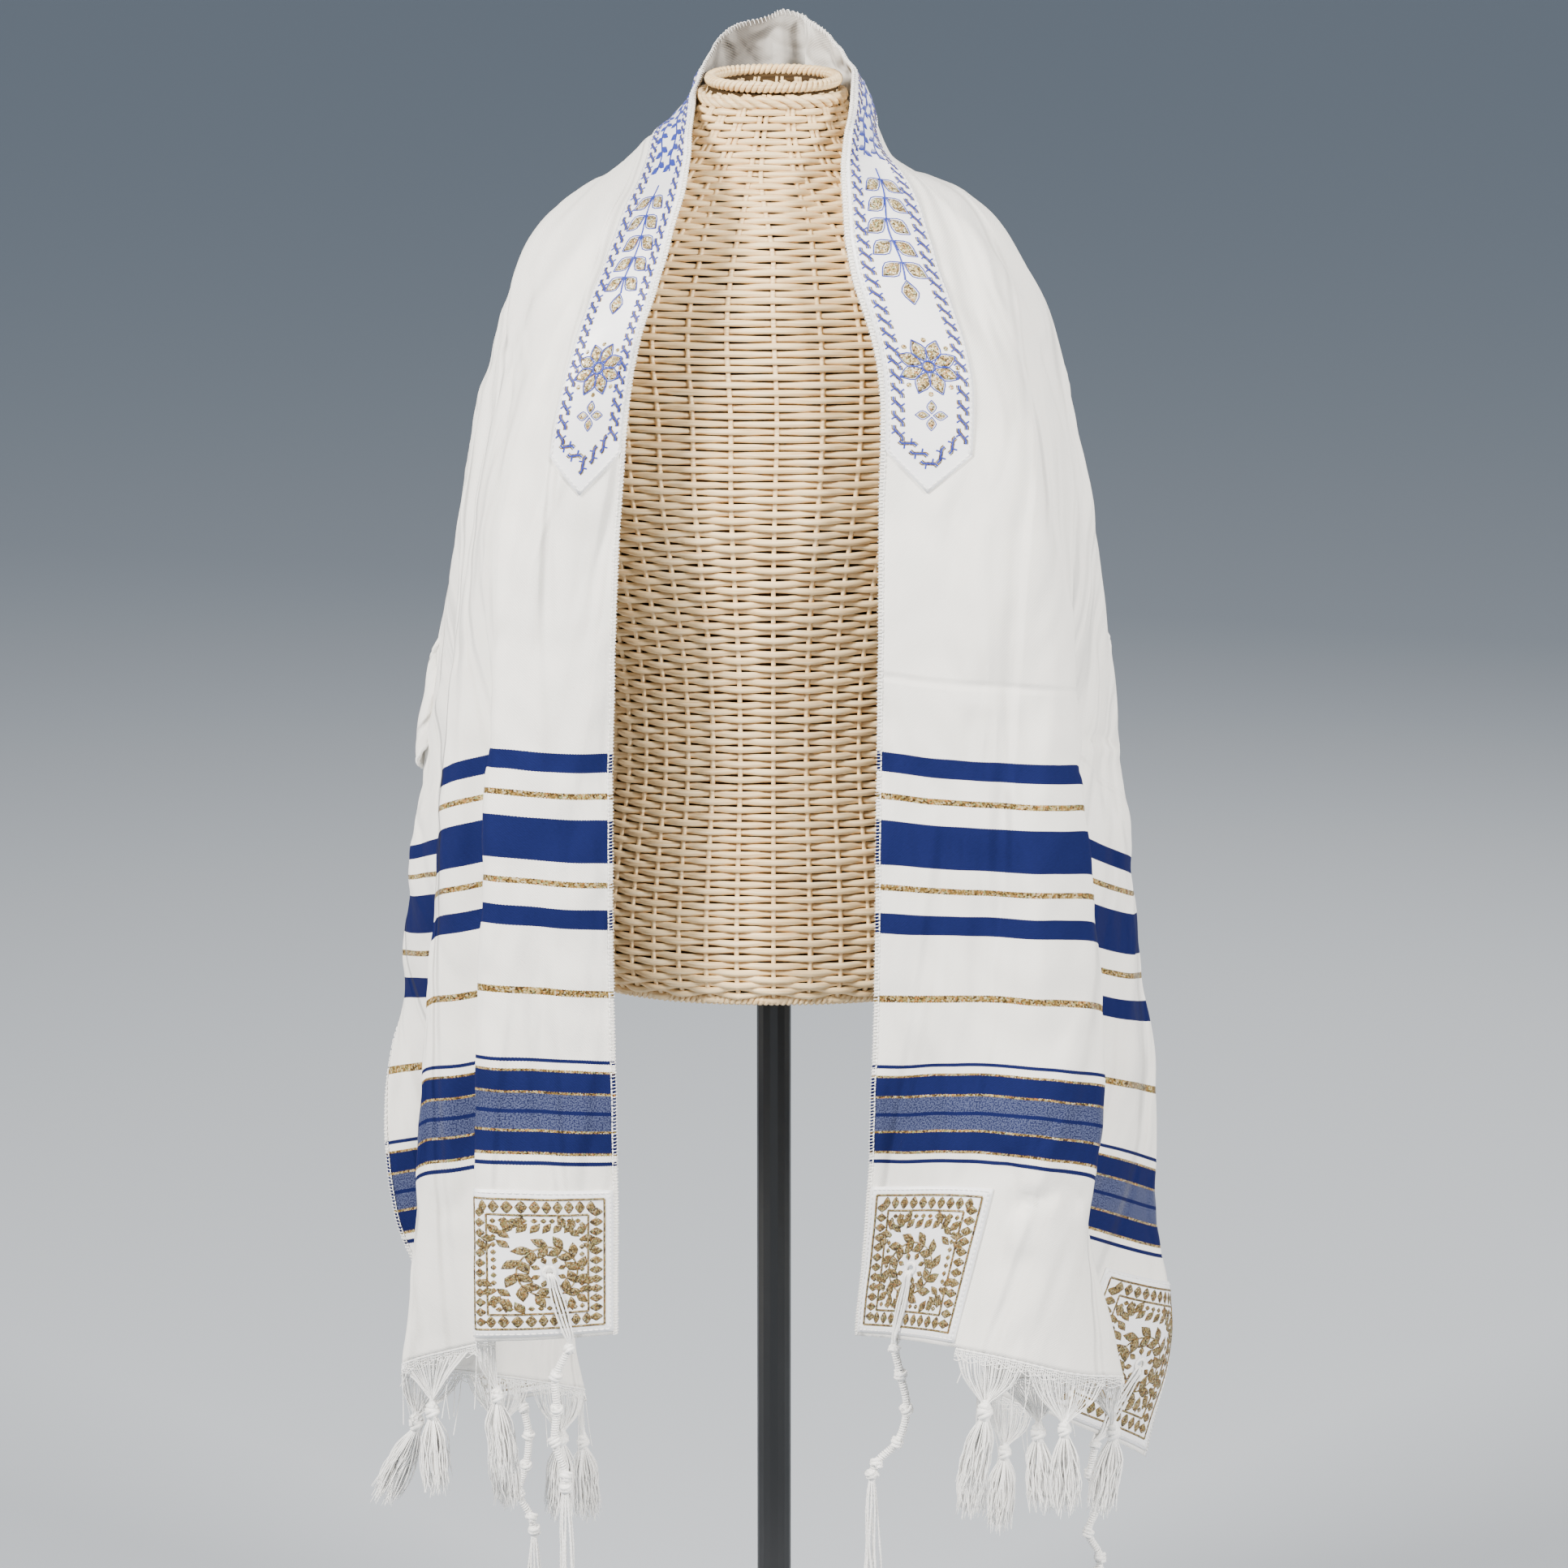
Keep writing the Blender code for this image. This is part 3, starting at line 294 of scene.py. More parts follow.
def stepsBetween(stops, counts):
    values = [stops[0]]
    for a, b, count in zip(stops, stops[1:], counts):
        values += [a + (b - a) * (i + 1) / count for i in range(count)]
    return values


def creased(place, lengths, widths):
    s, t = numpy.meshgrid(lengths, widths, indexing="ij")
    lift = numpy.zeros_like(s)
    for s0, t0, s1, t1, width, rise in metres(creases):
        ds, dt = s1 - s0, t1 - t0
        u = numpy.clip(((s - s0) * ds + (t - t0) * dt) / (ds * ds + dt * dt), 0, 1)
        gap = numpy.hypot(s - s0 - u * ds, t - t0 - u * dt) / width
        fade = 0.35 + 0.65 * numpy.sin(math.pi * (0.12 + 0.76 * u))  # shallower towards both ends
        lift += clothDetail["creaseDepth"] * rise * fade * numpy.exp(-gap * gap)
    soft = (numpy.sin(s * 61 + 2.1 * numpy.sin(t * 23)) * numpy.sin(t * 47 + 1.7 * numpy.sin(s * 19))
            + 0.6 * numpy.sin(s * 131 + 3.0 * numpy.sin(t * 57)) * numpy.sin(t * 93 + 2.2 * numpy.sin(s * 41)))
    lift += clothDetail["unevenness"] * soft
    flattest = clothDetail["underPatch"]
    flatShare = 1.0
    for sign in (-1, 1):
        for middle in (trimInset + patchWidth / 2, clothWidth - trimInset - patchWidth / 2):
            far = numpy.maximum(abs(s - sign * (halfLength - trimInset - patchLength / 2)), abs(t - middle))
            flatShare = flatShare * numpy.clip(flattest + (far - patchLength / 2) / 0.02, flattest, 1)
    return place + facings(place) * (lift * flatShare)[..., None]


halfLengths = stepsBetween([0.0, 0.100, 0.300, bandShoulder, bandPoint, halfLength - trimInset - patchLength,
                            halfLength - trimInset, halfLength], clothDetail["stepsAlong"])
lengths = [-s for s in reversed(halfLengths[1:])] + halfLengths
widths = stepsBetween([0.0, trimInset, trimInset + bandWidth, trimInset + patchWidth,
                       clothWidth - trimInset - patchWidth, clothWidth - trimInset, clothWidth],
                      clothDetail["stepsAcross"])
clothPlace = creased(middleOfCloth(lengths, widths), lengths, widths)
clothFacing = facings(clothPlace)
lengthKeys, widthKeys = numpy.array(lengths), numpy.array(widths)


def cellOf(keys, value):
    i = numpy.clip(numpy.searchsorted(keys, value + 1e-9, side="right") - 1, 0, len(keys) - 2)
    return i, ((value - keys[i]) / (keys[i + 1] - keys[i]))[..., None]


def onCloth(s, t, height=0.0):
    s, t, height = (numpy.asarray(v, dtype=float) for v in (s, t, height))
    (i, u), (j, v) = cellOf(lengthKeys, s), cellOf(widthKeys, t)

    def blend(table):
        return ((1 - u) * (1 - v) * table[i, j] + u * (1 - v) * table[i + 1, j]
                + (1 - u) * v * table[i, j + 1] + u * v * table[i + 1, j + 1])
    return blend(clothPlace) + blend(clothFacing) * height[..., None]


def pastHem(sign, t, distance, height=0.0):
    hem = onCloth(sign * halfLength, t, 0.0)
    run = hem - onCloth(sign * (halfLength - 0.03), t, 0.0)
    out = onCloth(sign * halfLength, t, 1.0) - hem
    return hem + run / numpy.linalg.norm(run) * distance + out * height


def layFlat(bm, height=0.0):
    flat = numpy.array([v.co[:] for v in bm.verts])
    for v, place in zip(bm.verts, onCloth(flat[:, 0], flat[:, 1], flat[:, 2] + height)):
        v.co = place


def openEyelet(bm, s, t):
    middle = min(bm.verts, key=lambda v: (v.co.x - s) ** 2 + (v.co.y - t) ** 2)
    for v in {v for face in middle.link_faces for v in face.verts} - {middle}:
        away = Vector((v.co.x - middle.co.x, v.co.y - middle.co.y)).normalized() * eyeletHole / 2
        v.co = (s + away.x, t + away.y, v.co.z)
    bmesh.ops.delete(bm, geom=[middle], context="VERTS")


def solidShell(piece, thickness, offset):
    shell = piece.modifiers.new("thickness", "SOLIDIFY")
    shell.thickness = thickness
    shell.offset = offset
    shell.use_even_offset = False


def clothPiece(name, rows, columns, holes, material, height, thickness, offset, warp=None):
    bm = bmesh.new()
    bmesh.ops.create_grid(bm, x_segments=len(rows) - 1, y_segments=len(columns) - 1, size=0.5)
    layer = bm.loops.layers.uv.new("UVMap")
    for v in bm.verts:
        i = round((v.co.x + 0.5) * (len(rows) - 1))
        j = round((v.co.y + 0.5) * (len(columns) - 1))
        v.co = (rows[i], columns[j], 0.0)
    for s, t in holes:
        openEyelet(bm, s, t)
    if warp:
        for v in bm.verts:
            v.co.x, v.co.y = warp(v.co.x, v.co.y)
    for face in bm.faces:
        for loop in face.loops:
            loop[layer].uv = (loop.vert.co.y, loop.vert.co.x)
    layFlat(bm, height)
    piece = addPiece(name, bm, material, turnOut=False)
    solidShell(piece, thickness, offset)
    return piece


def eyeletAt(sign, where):
    return sign * (halfLength - eyeletFromHem), eyeletFromSide if where == "front" else clothWidth - eyeletFromSide


def makeShawl():
    holes = [eyeletAt(sign, where) for sign in (-1, 1) for where in ("front", "rear")]
    shawl = clothPiece("shawlTwill", lengths, widths, holes, twill, 0.0,
                       clothDetail["shellThickness"], 0.0)
    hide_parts("shawl_cloth")
    return shawl


stripes = {
    "upper": (0.530, 0.695, [
        ("blue", 0.5335, 0.5460), ("gold", 0.5585, 0.5623), ("blue", 0.5757, 0.6030),
        ("gold", 0.6157, 0.6193), ("blue", 0.6336, 0.6462), ("gold", 0.6857, 0.6899)]),
    "lower": (0.725, 0.800, [
        ("blue", 0.7303, 0.7327), ("gold", 0.7371, 0.7389), ("blue", 0.7386, 0.7508), ("gold", 0.7505, 0.7523),
        ("mottled", 0.7520, 0.7620), ("blue", 0.7620, 0.7645), ("mottled", 0.7645, 0.7743),
        ("gold", 0.7740, 0.7759), ("blue", 0.7756, 0.7880), ("gold", 0.7877, 0.7895), ("blue", 0.7934, 0.7960)]),
    "toothPitch": 0.0016,  # the weft steps over the warp, so a stripe's edge is finely toothed
    "toothHeight": 0.0004,
    "white": ("#F8F5EF", "#ECE8E1", "#FBFAF6"),
    "blue": ("#13183F", "#191F50"),
    "mottled": ("#121A42", "#49506F"),
    "goldTint": "#BCA97C",
    "paintedCollarShade": "#575049",  # painted shade on the inside of the collar, the side that lies against the neck
    "shelfFold": 0.488,  # the line along which it lay folded, on the viewer's right
    "twillPitch": 0.0017,  # the real ribs are 0.8 mm apart, drawn coarser so that they show
}


def glitter(add, vector, size):
    cells = add("TexVoronoi", {"Vector": vector, "Scale": 1 / size, "Randomness": 1.0})
    tone = add("SeparateColor", {"Color": cells["Color"]})
    # flakes of the yarn's own uneven tone, and pale, near-white and coloured ones that are painted glints
    flakes = add("ValToRGB", {"Fac": tone["Red"]}, [
        (0.0, "#54432A"), (0.16, "#9A8350"), (0.38, "#CDB47A"), (0.58, "#F3E4B8"), (0.74, "#FFFFFA"),
        (0.84, "#B9CFA6"), (0.90, "#E0A066"), (0.95, "#7C6538")], "CONSTANT")
    return flakes, tone


def yarnMask(add, along, group):  # red for gold weft, green for blue, blue for mottled
    low, high, bands = stripes[group]
    share = add("MapRange", {"Value": along, "From Min": low, "From Max": high})
    codes = {"gold": "#FF0000", "blue": "#00FF00", "mottled": "#0000FF"}
    stops = [(0.0, "#000000")]
    for yarn, start, end in ((yarn, (a - low) / (high - low), (b - low) / (high - low)) for yarn, a, b in bands):
        if stops[-1][0] >= start - 1e-6:
            stops.pop()
        stops += [(start, codes[yarn]), (end, "#000000")]
    return add("ValToRGB", {"Fac": share}, stops, "CONSTANT")


def makeTwill():  # woven wool blend: matt, with fine diagonal ribs and a soft bloom
    material, add, shader = newMaterial("twillWoven")
    cloth = add("TexCoord")["UV"]
    split = add("SeparateXYZ", {"Vector": cloth})
    across, along = split["X"], add("Math", (split["Y"],), operation="ABSOLUTE")
    pitch, height = stripes["toothPitch"], stripes["toothHeight"]
    tooth = add("Math", (across, pitch / 2), operation="PINGPONG")
    lowered = add("Math", (along, height / 2), operation="SUBTRACT")
    toothed = add("Math", (tooth, 2 * height / pitch, lowered), operation="MULTIPLY_ADD")
    masks = [yarnMask(add, toothed, group) for group in ("upper", "lower")]
    both = add("Mix", {0: 1.0, 6: masks[0], 7: masks[1]}, data_type="RGBA", blend_type="ADD")
    yarn = add("SeparateColor", {"Color": both[2]})
    gold, blueYarn, mottled = yarn["Red"], yarn["Green"], yarn["Blue"]

    threads = add("Mapping", {"Vector": cloth, "Scale": (420.0, 1500.0, 1.0)})
    slub = add("TexNoise", {"Vector": threads, "Scale": 1.0, "Detail": 3.0})
    cloudy = add("TexNoise", {"Vector": cloth, "Scale": 9.0, "Detail": 4.0})
    slubShare = add("Math", (slub, 0.55), operation="MULTIPLY")
    cloudShare = add("Math", (cloudy, 0.22), operation="MULTIPLY")
    white = add("Mix", {0: slubShare, 6: stripes["white"][0], 7: stripes["white"][1]}, data_type="RGBA")[2]
    white = add("Mix", {0: cloudShare, 6: white, 7: stripes["white"][2]}, data_type="RGBA")[2]
    # painted shade inside the collar behind the neck, in soft grey blotches, fainter on one side
    inside = add("MapRange", {"Value": across, "From Min": 0.075, "From Max": 0.040})
    nape = add("MapRange", {"Value": along, "From Min": 0.120, "From Max": 0.070})
    side = add("MapRange", {"Value": split["Y"], "From Min": 0.015, "From Max": 0.009, "To Min": 0.35})
    streaks = add("Mapping", {"Vector": cloth, "Scale": (26.0, 34.0, 1.0), "Rotation": (0, 0, 0.5)})
    shadeBlotches = add("TexNoise", {"Vector": streaks, "Scale": 1.0, "Detail": 1.0})
    collarShadeArea = add("Math", (inside, nape), operation="MULTIPLY")
    paintedShade = add("Math", (collarShadeArea, add("Math", (shadeBlotches, 1.3, 0.12), operation="MULTIPLY_ADD")), operation="MULTIPLY")
    paintedShade = add("Math", (paintedShade, side), operation="MULTIPLY")
    # the painted shade darkens the white inside the collar
    white = add("Mix", {0: paintedShade, 6: white, 7: stripes["paintedCollarShade"]}, data_type="RGBA")[2]
    blue = add("Mix", {0: slub, 6: stripes["blue"][0], 7: stripes["blue"][1]}, data_type="RGBA")[2]
    grains = add("TexNoise", {"Vector": cloth, "Scale": 1100.0, "Detail": 1.0})
    fleck = add("ValToRGB", {"Fac": grains}, list(zip((0.40, 0.58), stripes["mottled"])))
    # the gold weft's flakes, partly painted glints
    flakes, tone = glitter(add, cloth, 0.0010)
    flakes = add("Mix", {0: 0.85, 6: flakes, 7: stripes["goldTint"]}, data_type="RGBA", blend_type="MULTIPLY")[2]
    colour = white
    for share, dyed in ((blueYarn, blue), (mottled, fleck), (gold, flakes)):
        colour = add("Mix", {0: share, 6: colour, 7: dyed}, data_type="RGBA")[2]

    drape = add("Mapping", {"Vector": cloth, "Scale": (25.0, 7.0, 1.0), "Rotation": (0, 0, 0.12)})
    folds = add("TexNoise", {"Vector": drape, "Scale": 1.0, "Detail": 2.0, "Roughness": 0.35, "Distortion": 0.7})
    # long soft press lines: the noise is folded about its middle, so each zero of it is a sharp valley
    press = add("Mapping", {"Vector": cloth, "Scale": (13.0, 1.1, 1.0), "Location": (0.3, 0.2, 0.0)})
    lines = add("TexNoise", {"Vector": press, "Scale": 1.0, "Detail": 0.0, "Distortion": 0.25})
    crumple = add("TexNoise", {"Vector": cloth, "Scale": 40.0, "Detail": 1.0, "Distortion": 0.8})
    crumple = add("Math", (crumple, collarShadeArea), operation="MULTIPLY")
    lying = add("Math", (folds, add("Math", (crumple, 1.3), operation="MULTIPLY")))
    pressed = []
    for value, middle, reach, rise, curve in ((lines, 0.5, 0.045, 0.14, "SMOOTHERSTEP"),
                                              (split["Y"], stripes["shelfFold"], 0.004, 0.05, "SMOOTHSTEP")):
        away = add("Math", (value, middle), operation="SUBTRACT")
        away = add("Math", (away,), operation="ABSOLUTE")
        pressed.append(add("MapRange", {"Value": away, "From Max": reach, "To Max": rise}, interpolation_type=curve))
    lying = add("Math", (lying, add("Math", pressed)))
    soft = add("Bump", {"Strength": 1.0, "Distance": 0.015, "Height": lying})
    diagonal = add("Math", (across, along))
    ribs = add("Math", (diagonal, fullTurn / stripes["twillPitch"]), operation="MULTIPLY")
    ribs = add("Math", (add("Math", (ribs,), operation="SINE"), 0.5, 0.5), operation="MULTIPLY_ADD")
    ribs, fuzz = (add("Math", (value, share), operation="MULTIPLY") for value, share in ((ribs, 0.6), (slub, 0.7)))
    sparkle = add("Math", (gold, tone["Green"]), operation="MULTIPLY")
    sparkle = add("Math", (sparkle, 2.8), operation="MULTIPLY")
    relief = add("Math", (add("Math", (ribs, fuzz)), sparkle))
    fillSockets(shader, {
        "Base Color": colour,
        "Metallic": add("Math", (gold, 0.45), operation="MULTIPLY"),
        "Roughness": add("Math", (gold, -0.45, 0.86), operation="MULTIPLY_ADD"),
        "Normal": add("Bump", {"Strength": 0.32, "Distance": 0.0004, "Height": relief, "Normal": soft}),
        "Sheen Weight": add("Math", (blueYarn, -0.12, 0.14), operation="MULTIPLY_ADD"),
        "Sheen Roughness": 0.45,
        "Specular IOR Level": add("Math", (blueYarn, -0.20, 0.25), operation="MULTIPLY_ADD")})
    return material


def makeSatin():  # polyester satin ribbon: long floats across the band give a soft, slightly streaked shine
    material, add, shader = newMaterial("satinRibbon")
    ribbon = add("TexCoord")["UV"]
    floats = add("Mapping", {"Vector": ribbon, "Scale": (160.0, 1700.0, 1.0)})
    weave = add("TexNoise", {"Vector": floats, "Scale": 1.0, "Detail": 2.0})
    soft = add("TexNoise", {"Vector": ribbon, "Scale": 42.0, "Detail": 2.0})
    height = add("Math", (add("Math", (weave, 0.25), operation="MULTIPLY"), soft))
    fillSockets(shader, {
        "Base Color": add("Mix", {0: weave, 6: "#FFFFFF", 7: "#F1F1F7"}, data_type="RGBA")[2],
        "Roughness": add("MapRange", {"Value": weave, "To Min": 0.30, "To Max": 0.52}),
        "Normal": add("Bump", {"Strength": 0.30, "Distance": 0.0006, "Height": height}),
        "Sheen Weight": 0.30, "Specular IOR Level": 0.55})
    return material


def makeThread(name, low, high, roughness):  # spun yarn: its twist shows as fine light and dark
    material, add, shader = newMaterial(name)
    twist = add("TexNoise", {"Vector": add("TexCoord")["Object"], "Scale": 1 / 0.0009, "Detail": 2.0})
    fillSockets(shader, {
        "Base Color": add("ValToRGB", {"Fac": twist}, [(0.30, low), (0.68, high)]),
        "Roughness": add("MapRange", {"Value": twist, "To Min": roughness - 0.08,
                                      "To Max": roughness + 0.10}),
        "Normal": add("Bump", {"Strength": 0.35, "Distance": 0.0003, "Height": twist}),
        "Sheen Weight": 0.2})
    return material


def makeLurex(name, tarnish):  # chopped metal film twisted into yarn: separate bright flakes among dull ones; the brightest and coloured flakes are painted glints
    material, add, shader = newMaterial(name)
    flakes, tone = glitter(add, add("TexCoord")["Object"], 0.0008)
    fillSockets(shader, {
        "Base Color": add("Mix", {0: tarnish, 6: flakes, 7: "#8F8260"}, data_type="RGBA", blend_type="MULTIPLY")[2],
        "Roughness": add("MapRange", {"Value": tone["Green"], "To Min": 0.28, "To Max": 0.62}),
        "Normal": add("Bump", {"Strength": 0.5, "Distance": 0.0004, "Height": tone["Blue"]}),
        "Metallic": 0.18})
    return material


def makeRattan(name, pale, mid, dark, specular=0.5):  # peeled cane: long fibres, waxy, a little uneven in colour
    material, add, shader = newMaterial(name)
    place = add("TexCoord")["Object"]
    fibre = add("Mapping", {"Vector": place, "Scale": (38.0, 38.0, 900.0)})
    grain = add("TexNoise", {"Vector": fibre, "Scale": 1.0, "Detail": 4.0})
    patchy = add("TexNoise", {"Vector": place, "Scale": 26.0, "Detail": 2.0})
    tone = add("ValToRGB", {"Fac": grain}, [(0.30, dark), (0.50, mid), (0.72, pale)])
    share = add("Math", (patchy, 0.55), operation="MULTIPLY")
    fillSockets(shader, {
        "Base Color": add("Mix", {0: share, 6: tone, 7: pale}, data_type="RGBA")[2],
        "Normal": add("Bump", {"Strength": 0.35, "Distance": 0.0005, "Height": grain}),
        "Roughness": add("MapRange", {"Value": patchy, "To Min": 0.42, "To Max": 0.66}),
        "Specular IOR Level": specular})
    return material


def makePaintedSteel():  # powder-coated mild steel: satin black with a faint orange-peel skin
    material, add, shader = newMaterial("powderCoatedSteel")
    place = add("TexCoord")["Object"]
    peel = add("TexNoise", {"Vector": place, "Scale": 700.0, "Detail": 1.0})
    dust = add("TexNoise", {"Vector": place, "Scale": 14.0, "Detail": 5.0})
    share = add("Math", (dust, 0.5), operation="MULTIPLY")
    fillSockets(shader, {
        "Base Color": add("Mix", {0: share, 6: "#141517", 7: "#2A2B2E"}, data_type="RGBA")[2],
        "Roughness": add("MapRange", {"Value": dust, "To Min": 0.34, "To Max": 0.55}),
        "Normal": add("Bump", {"Strength": 0.12, "Distance": 0.0004, "Height": peel}), "IOR": 1.5})
    return material


twill, satin = makeTwill(), makeSatin()
cotton = makeThread("mercerisedCotton", "#EFECE6", "#FFFFFF", 0.70)
silkBlue = makeThread("rayonBlue", "#10207F", "#2237A8", 0.42)
lurex, lurexDeep = makeLurex("lurexYarn", 0.32), makeLurex("lurexYarnDeep", 0.92)
rattan = makeRattan("peeledRattan", "#F5DEB4", "#E2C08A", "#BC925C")
# a dark, almost unreflecting rattan for the sheets of painted shade inside the hollow form
rattanShade = makeRattan("rattanPaintedShade", "#4A3A26", "#36291A", "#241A10", 0.02)
paintedSteel = makePaintedSteel()
print("finishes made")


sewing = {
    "overlockPitch": 0.0021,
    "overlockRadius": 0.00027,
    "overlockDepth": 0.0028,
    "seamInset": 0.0027,  # the line of stitches that closes the overlock
    "threadRadius": 0.00042,
    "needlePitch": 0.0034,
    "bandStitchInset": 0.0016,
    "patchStitchInset": 0.0018,
    "trimBase": 0.0008,  # underside of the band and patches over the cloth's middle
    "trimThickness": 0.0008,
}
trimTop = sewing["trimBase"] + sewing["trimThickness"]
bandMiddle = trimInset + bandWidth / 2


def circle(count):
    return [fullTurn * k / count for k in range(count + 1)]


def polar(centre, turn, reach):
    return centre[0] + math.cos(turn) * reach, centre[1] + math.sin(turn) * reach


def between(a, b, share):
    return a[0] + (b[0] - a[0]) * share, a[1] + (b[1] - a[1]) * share


def needleLine(corners, height):
    stitches = []
    for a, b in zip(corners, corners[1:]):
        count = max(1, int(math.dist(a, b) / sewing["needlePitch"]))
        for k in range(count):
            flat = numpy.array([between(a, b, (k + part) / count) for part in (0.12, 0.30, 0.64, 0.82)])
            lift = height + numpy.array([-0.0002, 0.0003, 0.0003, -0.0002])  # each end dips into the cloth
            stitches.append((onCloth(flat[:, 0], flat[:, 1], lift), sewing["threadRadius"]))
    return stitches


def overlock(name, edge, inward):
    pitch, depth = sewing["overlockPitch"], sewing["overlockDepth"]
    turns = numpy.arange(int(2 * halfLength / pitch) * 6)
    s = -halfLength + (turns / 6) * pitch
    reach = numpy.choose(turns % 6, [depth, depth * 0.4, -0.0005, -0.0005, depth * 0.4, depth])
    height = numpy.choose(turns % 6, [0.0009, 0.0012, 0.0006, -0.0006, -0.0011, -0.0008])
    wobble = 0.00018 * numpy.sin(turns * 0.73)
    laid = onCloth(numpy.clip(s, -halfLength, halfLength), edge + inward * (reach + wobble), height)
    seam = [(sign * halfLength, edge + inward * sewing["seamInset"]) for sign in (-1, 1)]
    threadPiece(name, [(laid, sewing["overlockRadius"])] + needleLine(seam, 0.0008), cotton)


def trimShell(name, rows, columns, holes, warp=None):
    base, thickness = sewing["trimBase"], sewing["trimThickness"]
    return clothPiece(name, rows, columns, holes, satin, base, thickness, 1.0, warp)


def within(values, low, high):
    return [value for value in values if low - 1e-9 <= value <= high + 1e-9]


def pointedEnd(s, t):
    if abs(s) <= bandShoulder:
        return s, t
    tip = bandPoint - (bandPoint - bandShoulder) * abs(t - bandMiddle) / (bandWidth / 2)
    share = (abs(s) - bandShoulder) / (bandPoint - bandShoulder)
    return math.copysign(bandShoulder + (tip - bandShoulder) * share, s), t


def makeNeckband():
    band = trimShell("satinNeckband", within(lengths, -bandPoint, bandPoint),
                     within(widths, trimInset, trimInset + bandWidth), [], pointedEnd)
    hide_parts("neckband_atarah")
    inset = sewing["bandStitchInset"]
    stitches = []
    for sign in (-1, 1):
        tip = (sign * (bandPoint - 0.0022), bandMiddle)
        for edge in (trimInset + inset, trimInset + bandWidth - inset):
            stitches += needleLine([(0.0, edge), (sign * (bandShoulder - 0.0006), edge), tip], trimTop)
    threadPiece("neckbandTopstitch", stitches, cotton)


def layStrokes(strokes):
    laid = []
    for flat, radius in strokes:
        flat = numpy.asarray(flat, dtype=float)
        laid.append((onCloth(flat[:, 0], flat[:, 1], trimTop), radius))
    return laid


def turned(middle, turn, points):
    c, s = math.cos(turn), math.sin(turn)
    return [(middle[0] + x * c - y * s, middle[1] + x * s + y * c) for x, y in points]


def leafWidth(x, taper=1.0):  # how wide a leaf is at x, which runs from -1 to 1
    return 1 - taper * 0.85 * abs(x) ** 1.7


def padLeaf(bm, middle, turn, length, width, taper=1.0):  # satin stitch over padding
    made = bmesh.ops.create_cone(bm, cap_ends=True, segments=14, radius1=1.0, radius2=0.62, depth=1.0)["verts"]
    for v in made:
        flat = (v.co.x * length / 2, v.co.y * width / 2 * leafWidth(v.co.x, taper))
        v.co = (*turned(middle, turn, [flat])[0], embroidery["padHeight"] * (v.co.z + 0.5))


def leafOutline(middle, turn, length, width, radius):
    points = [(math.cos(a) * length / 2, math.sin(a) * width / 2 * leafWidth(math.cos(a))) for a in circle(16)]
    return turned(middle, turn, points), radius


def ringStroke(middle, reach, count, radius):
    return [polar(middle, a, reach) for a in circle(count)], radius


embroidery = {  # sizes of leaves and petals are length by width
    "strokeRadius": 0.00066,
    "fineRadius": 0.00046,
    "goldRadius": 0.00042,
    "padHeight": 0.00038,
    "borderInset": 0.0068,
    "borderPitch": 0.0084,
    "twistReach": 0.0045,
    "twistRise": 0.0025,
    "goldShift": 0.0011,
    "blossoms": (-0.066, -0.033, 0.0, 0.033, 0.066),
    "vine": (0.086, 0.076),  # start and length along the band
    "vineLeaf": (0.0100, 0.0056),
    "branch": (0.172, 0.075),
    "branchLeaf": (0.0140, 0.0082),
    "branchEnd": 0.2550,
    "rosette": 0.3010,
    "flower": 0.3300,
}


def alongPath(corners, pitch):
    runs = [math.dist(a, b) for a, b in zip(corners, corners[1:])]
    count = round(sum(runs) / pitch)
    places = []
    for k in range(count):
        far = (k + 0.5) * sum(runs) / count
        for a, b, run in zip(corners, corners[1:], runs):
            if far <= run:
                places.append((between(a, b, far / run), math.atan2(b[1] - a[1], b[0] - a[0])))
                break
            far -= run
    return places


def borderStitches(sign, blue, gold):
    inset, reach, lift = embroidery["borderInset"], embroidery["twistReach"], embroidery["twistRise"]
    low, high = trimInset + inset, trimInset + bandWidth - inset
    shoulder, tip = sign * (bandShoulder - 0.010), sign * (bandPoint - inset * 2.6)
    path = [(0.0, low), (shoulder, low), (tip, bandMiddle), (shoulder, high), (0.0, high)]
    twist = [(-reach, -lift), (-reach * 0.55, -lift * 0.95), (0.0, 0.0), (reach * 0.55, lift * 0.95), (reach, lift)]
    bold = embroidery["strokeRadius"]
    for middle, turn in alongPath(path, embroidery["borderPitch"]):
        blue.append((turned(middle, turn, twist), bold))
        for shift in (-embroidery["goldShift"], embroidery["goldShift"]):
            gold.append((turned(middle, turn, [(x, y + shift) for x, y in twist]), embroidery["goldRadius"]))
        for part in (-1, 1):
            cross = [(part * 0.0014, part * lift * 0.4), (-part * 0.0006, part * lift * 1.5)]
            blue.append((turned(middle, turn, cross), bold * 0.9))


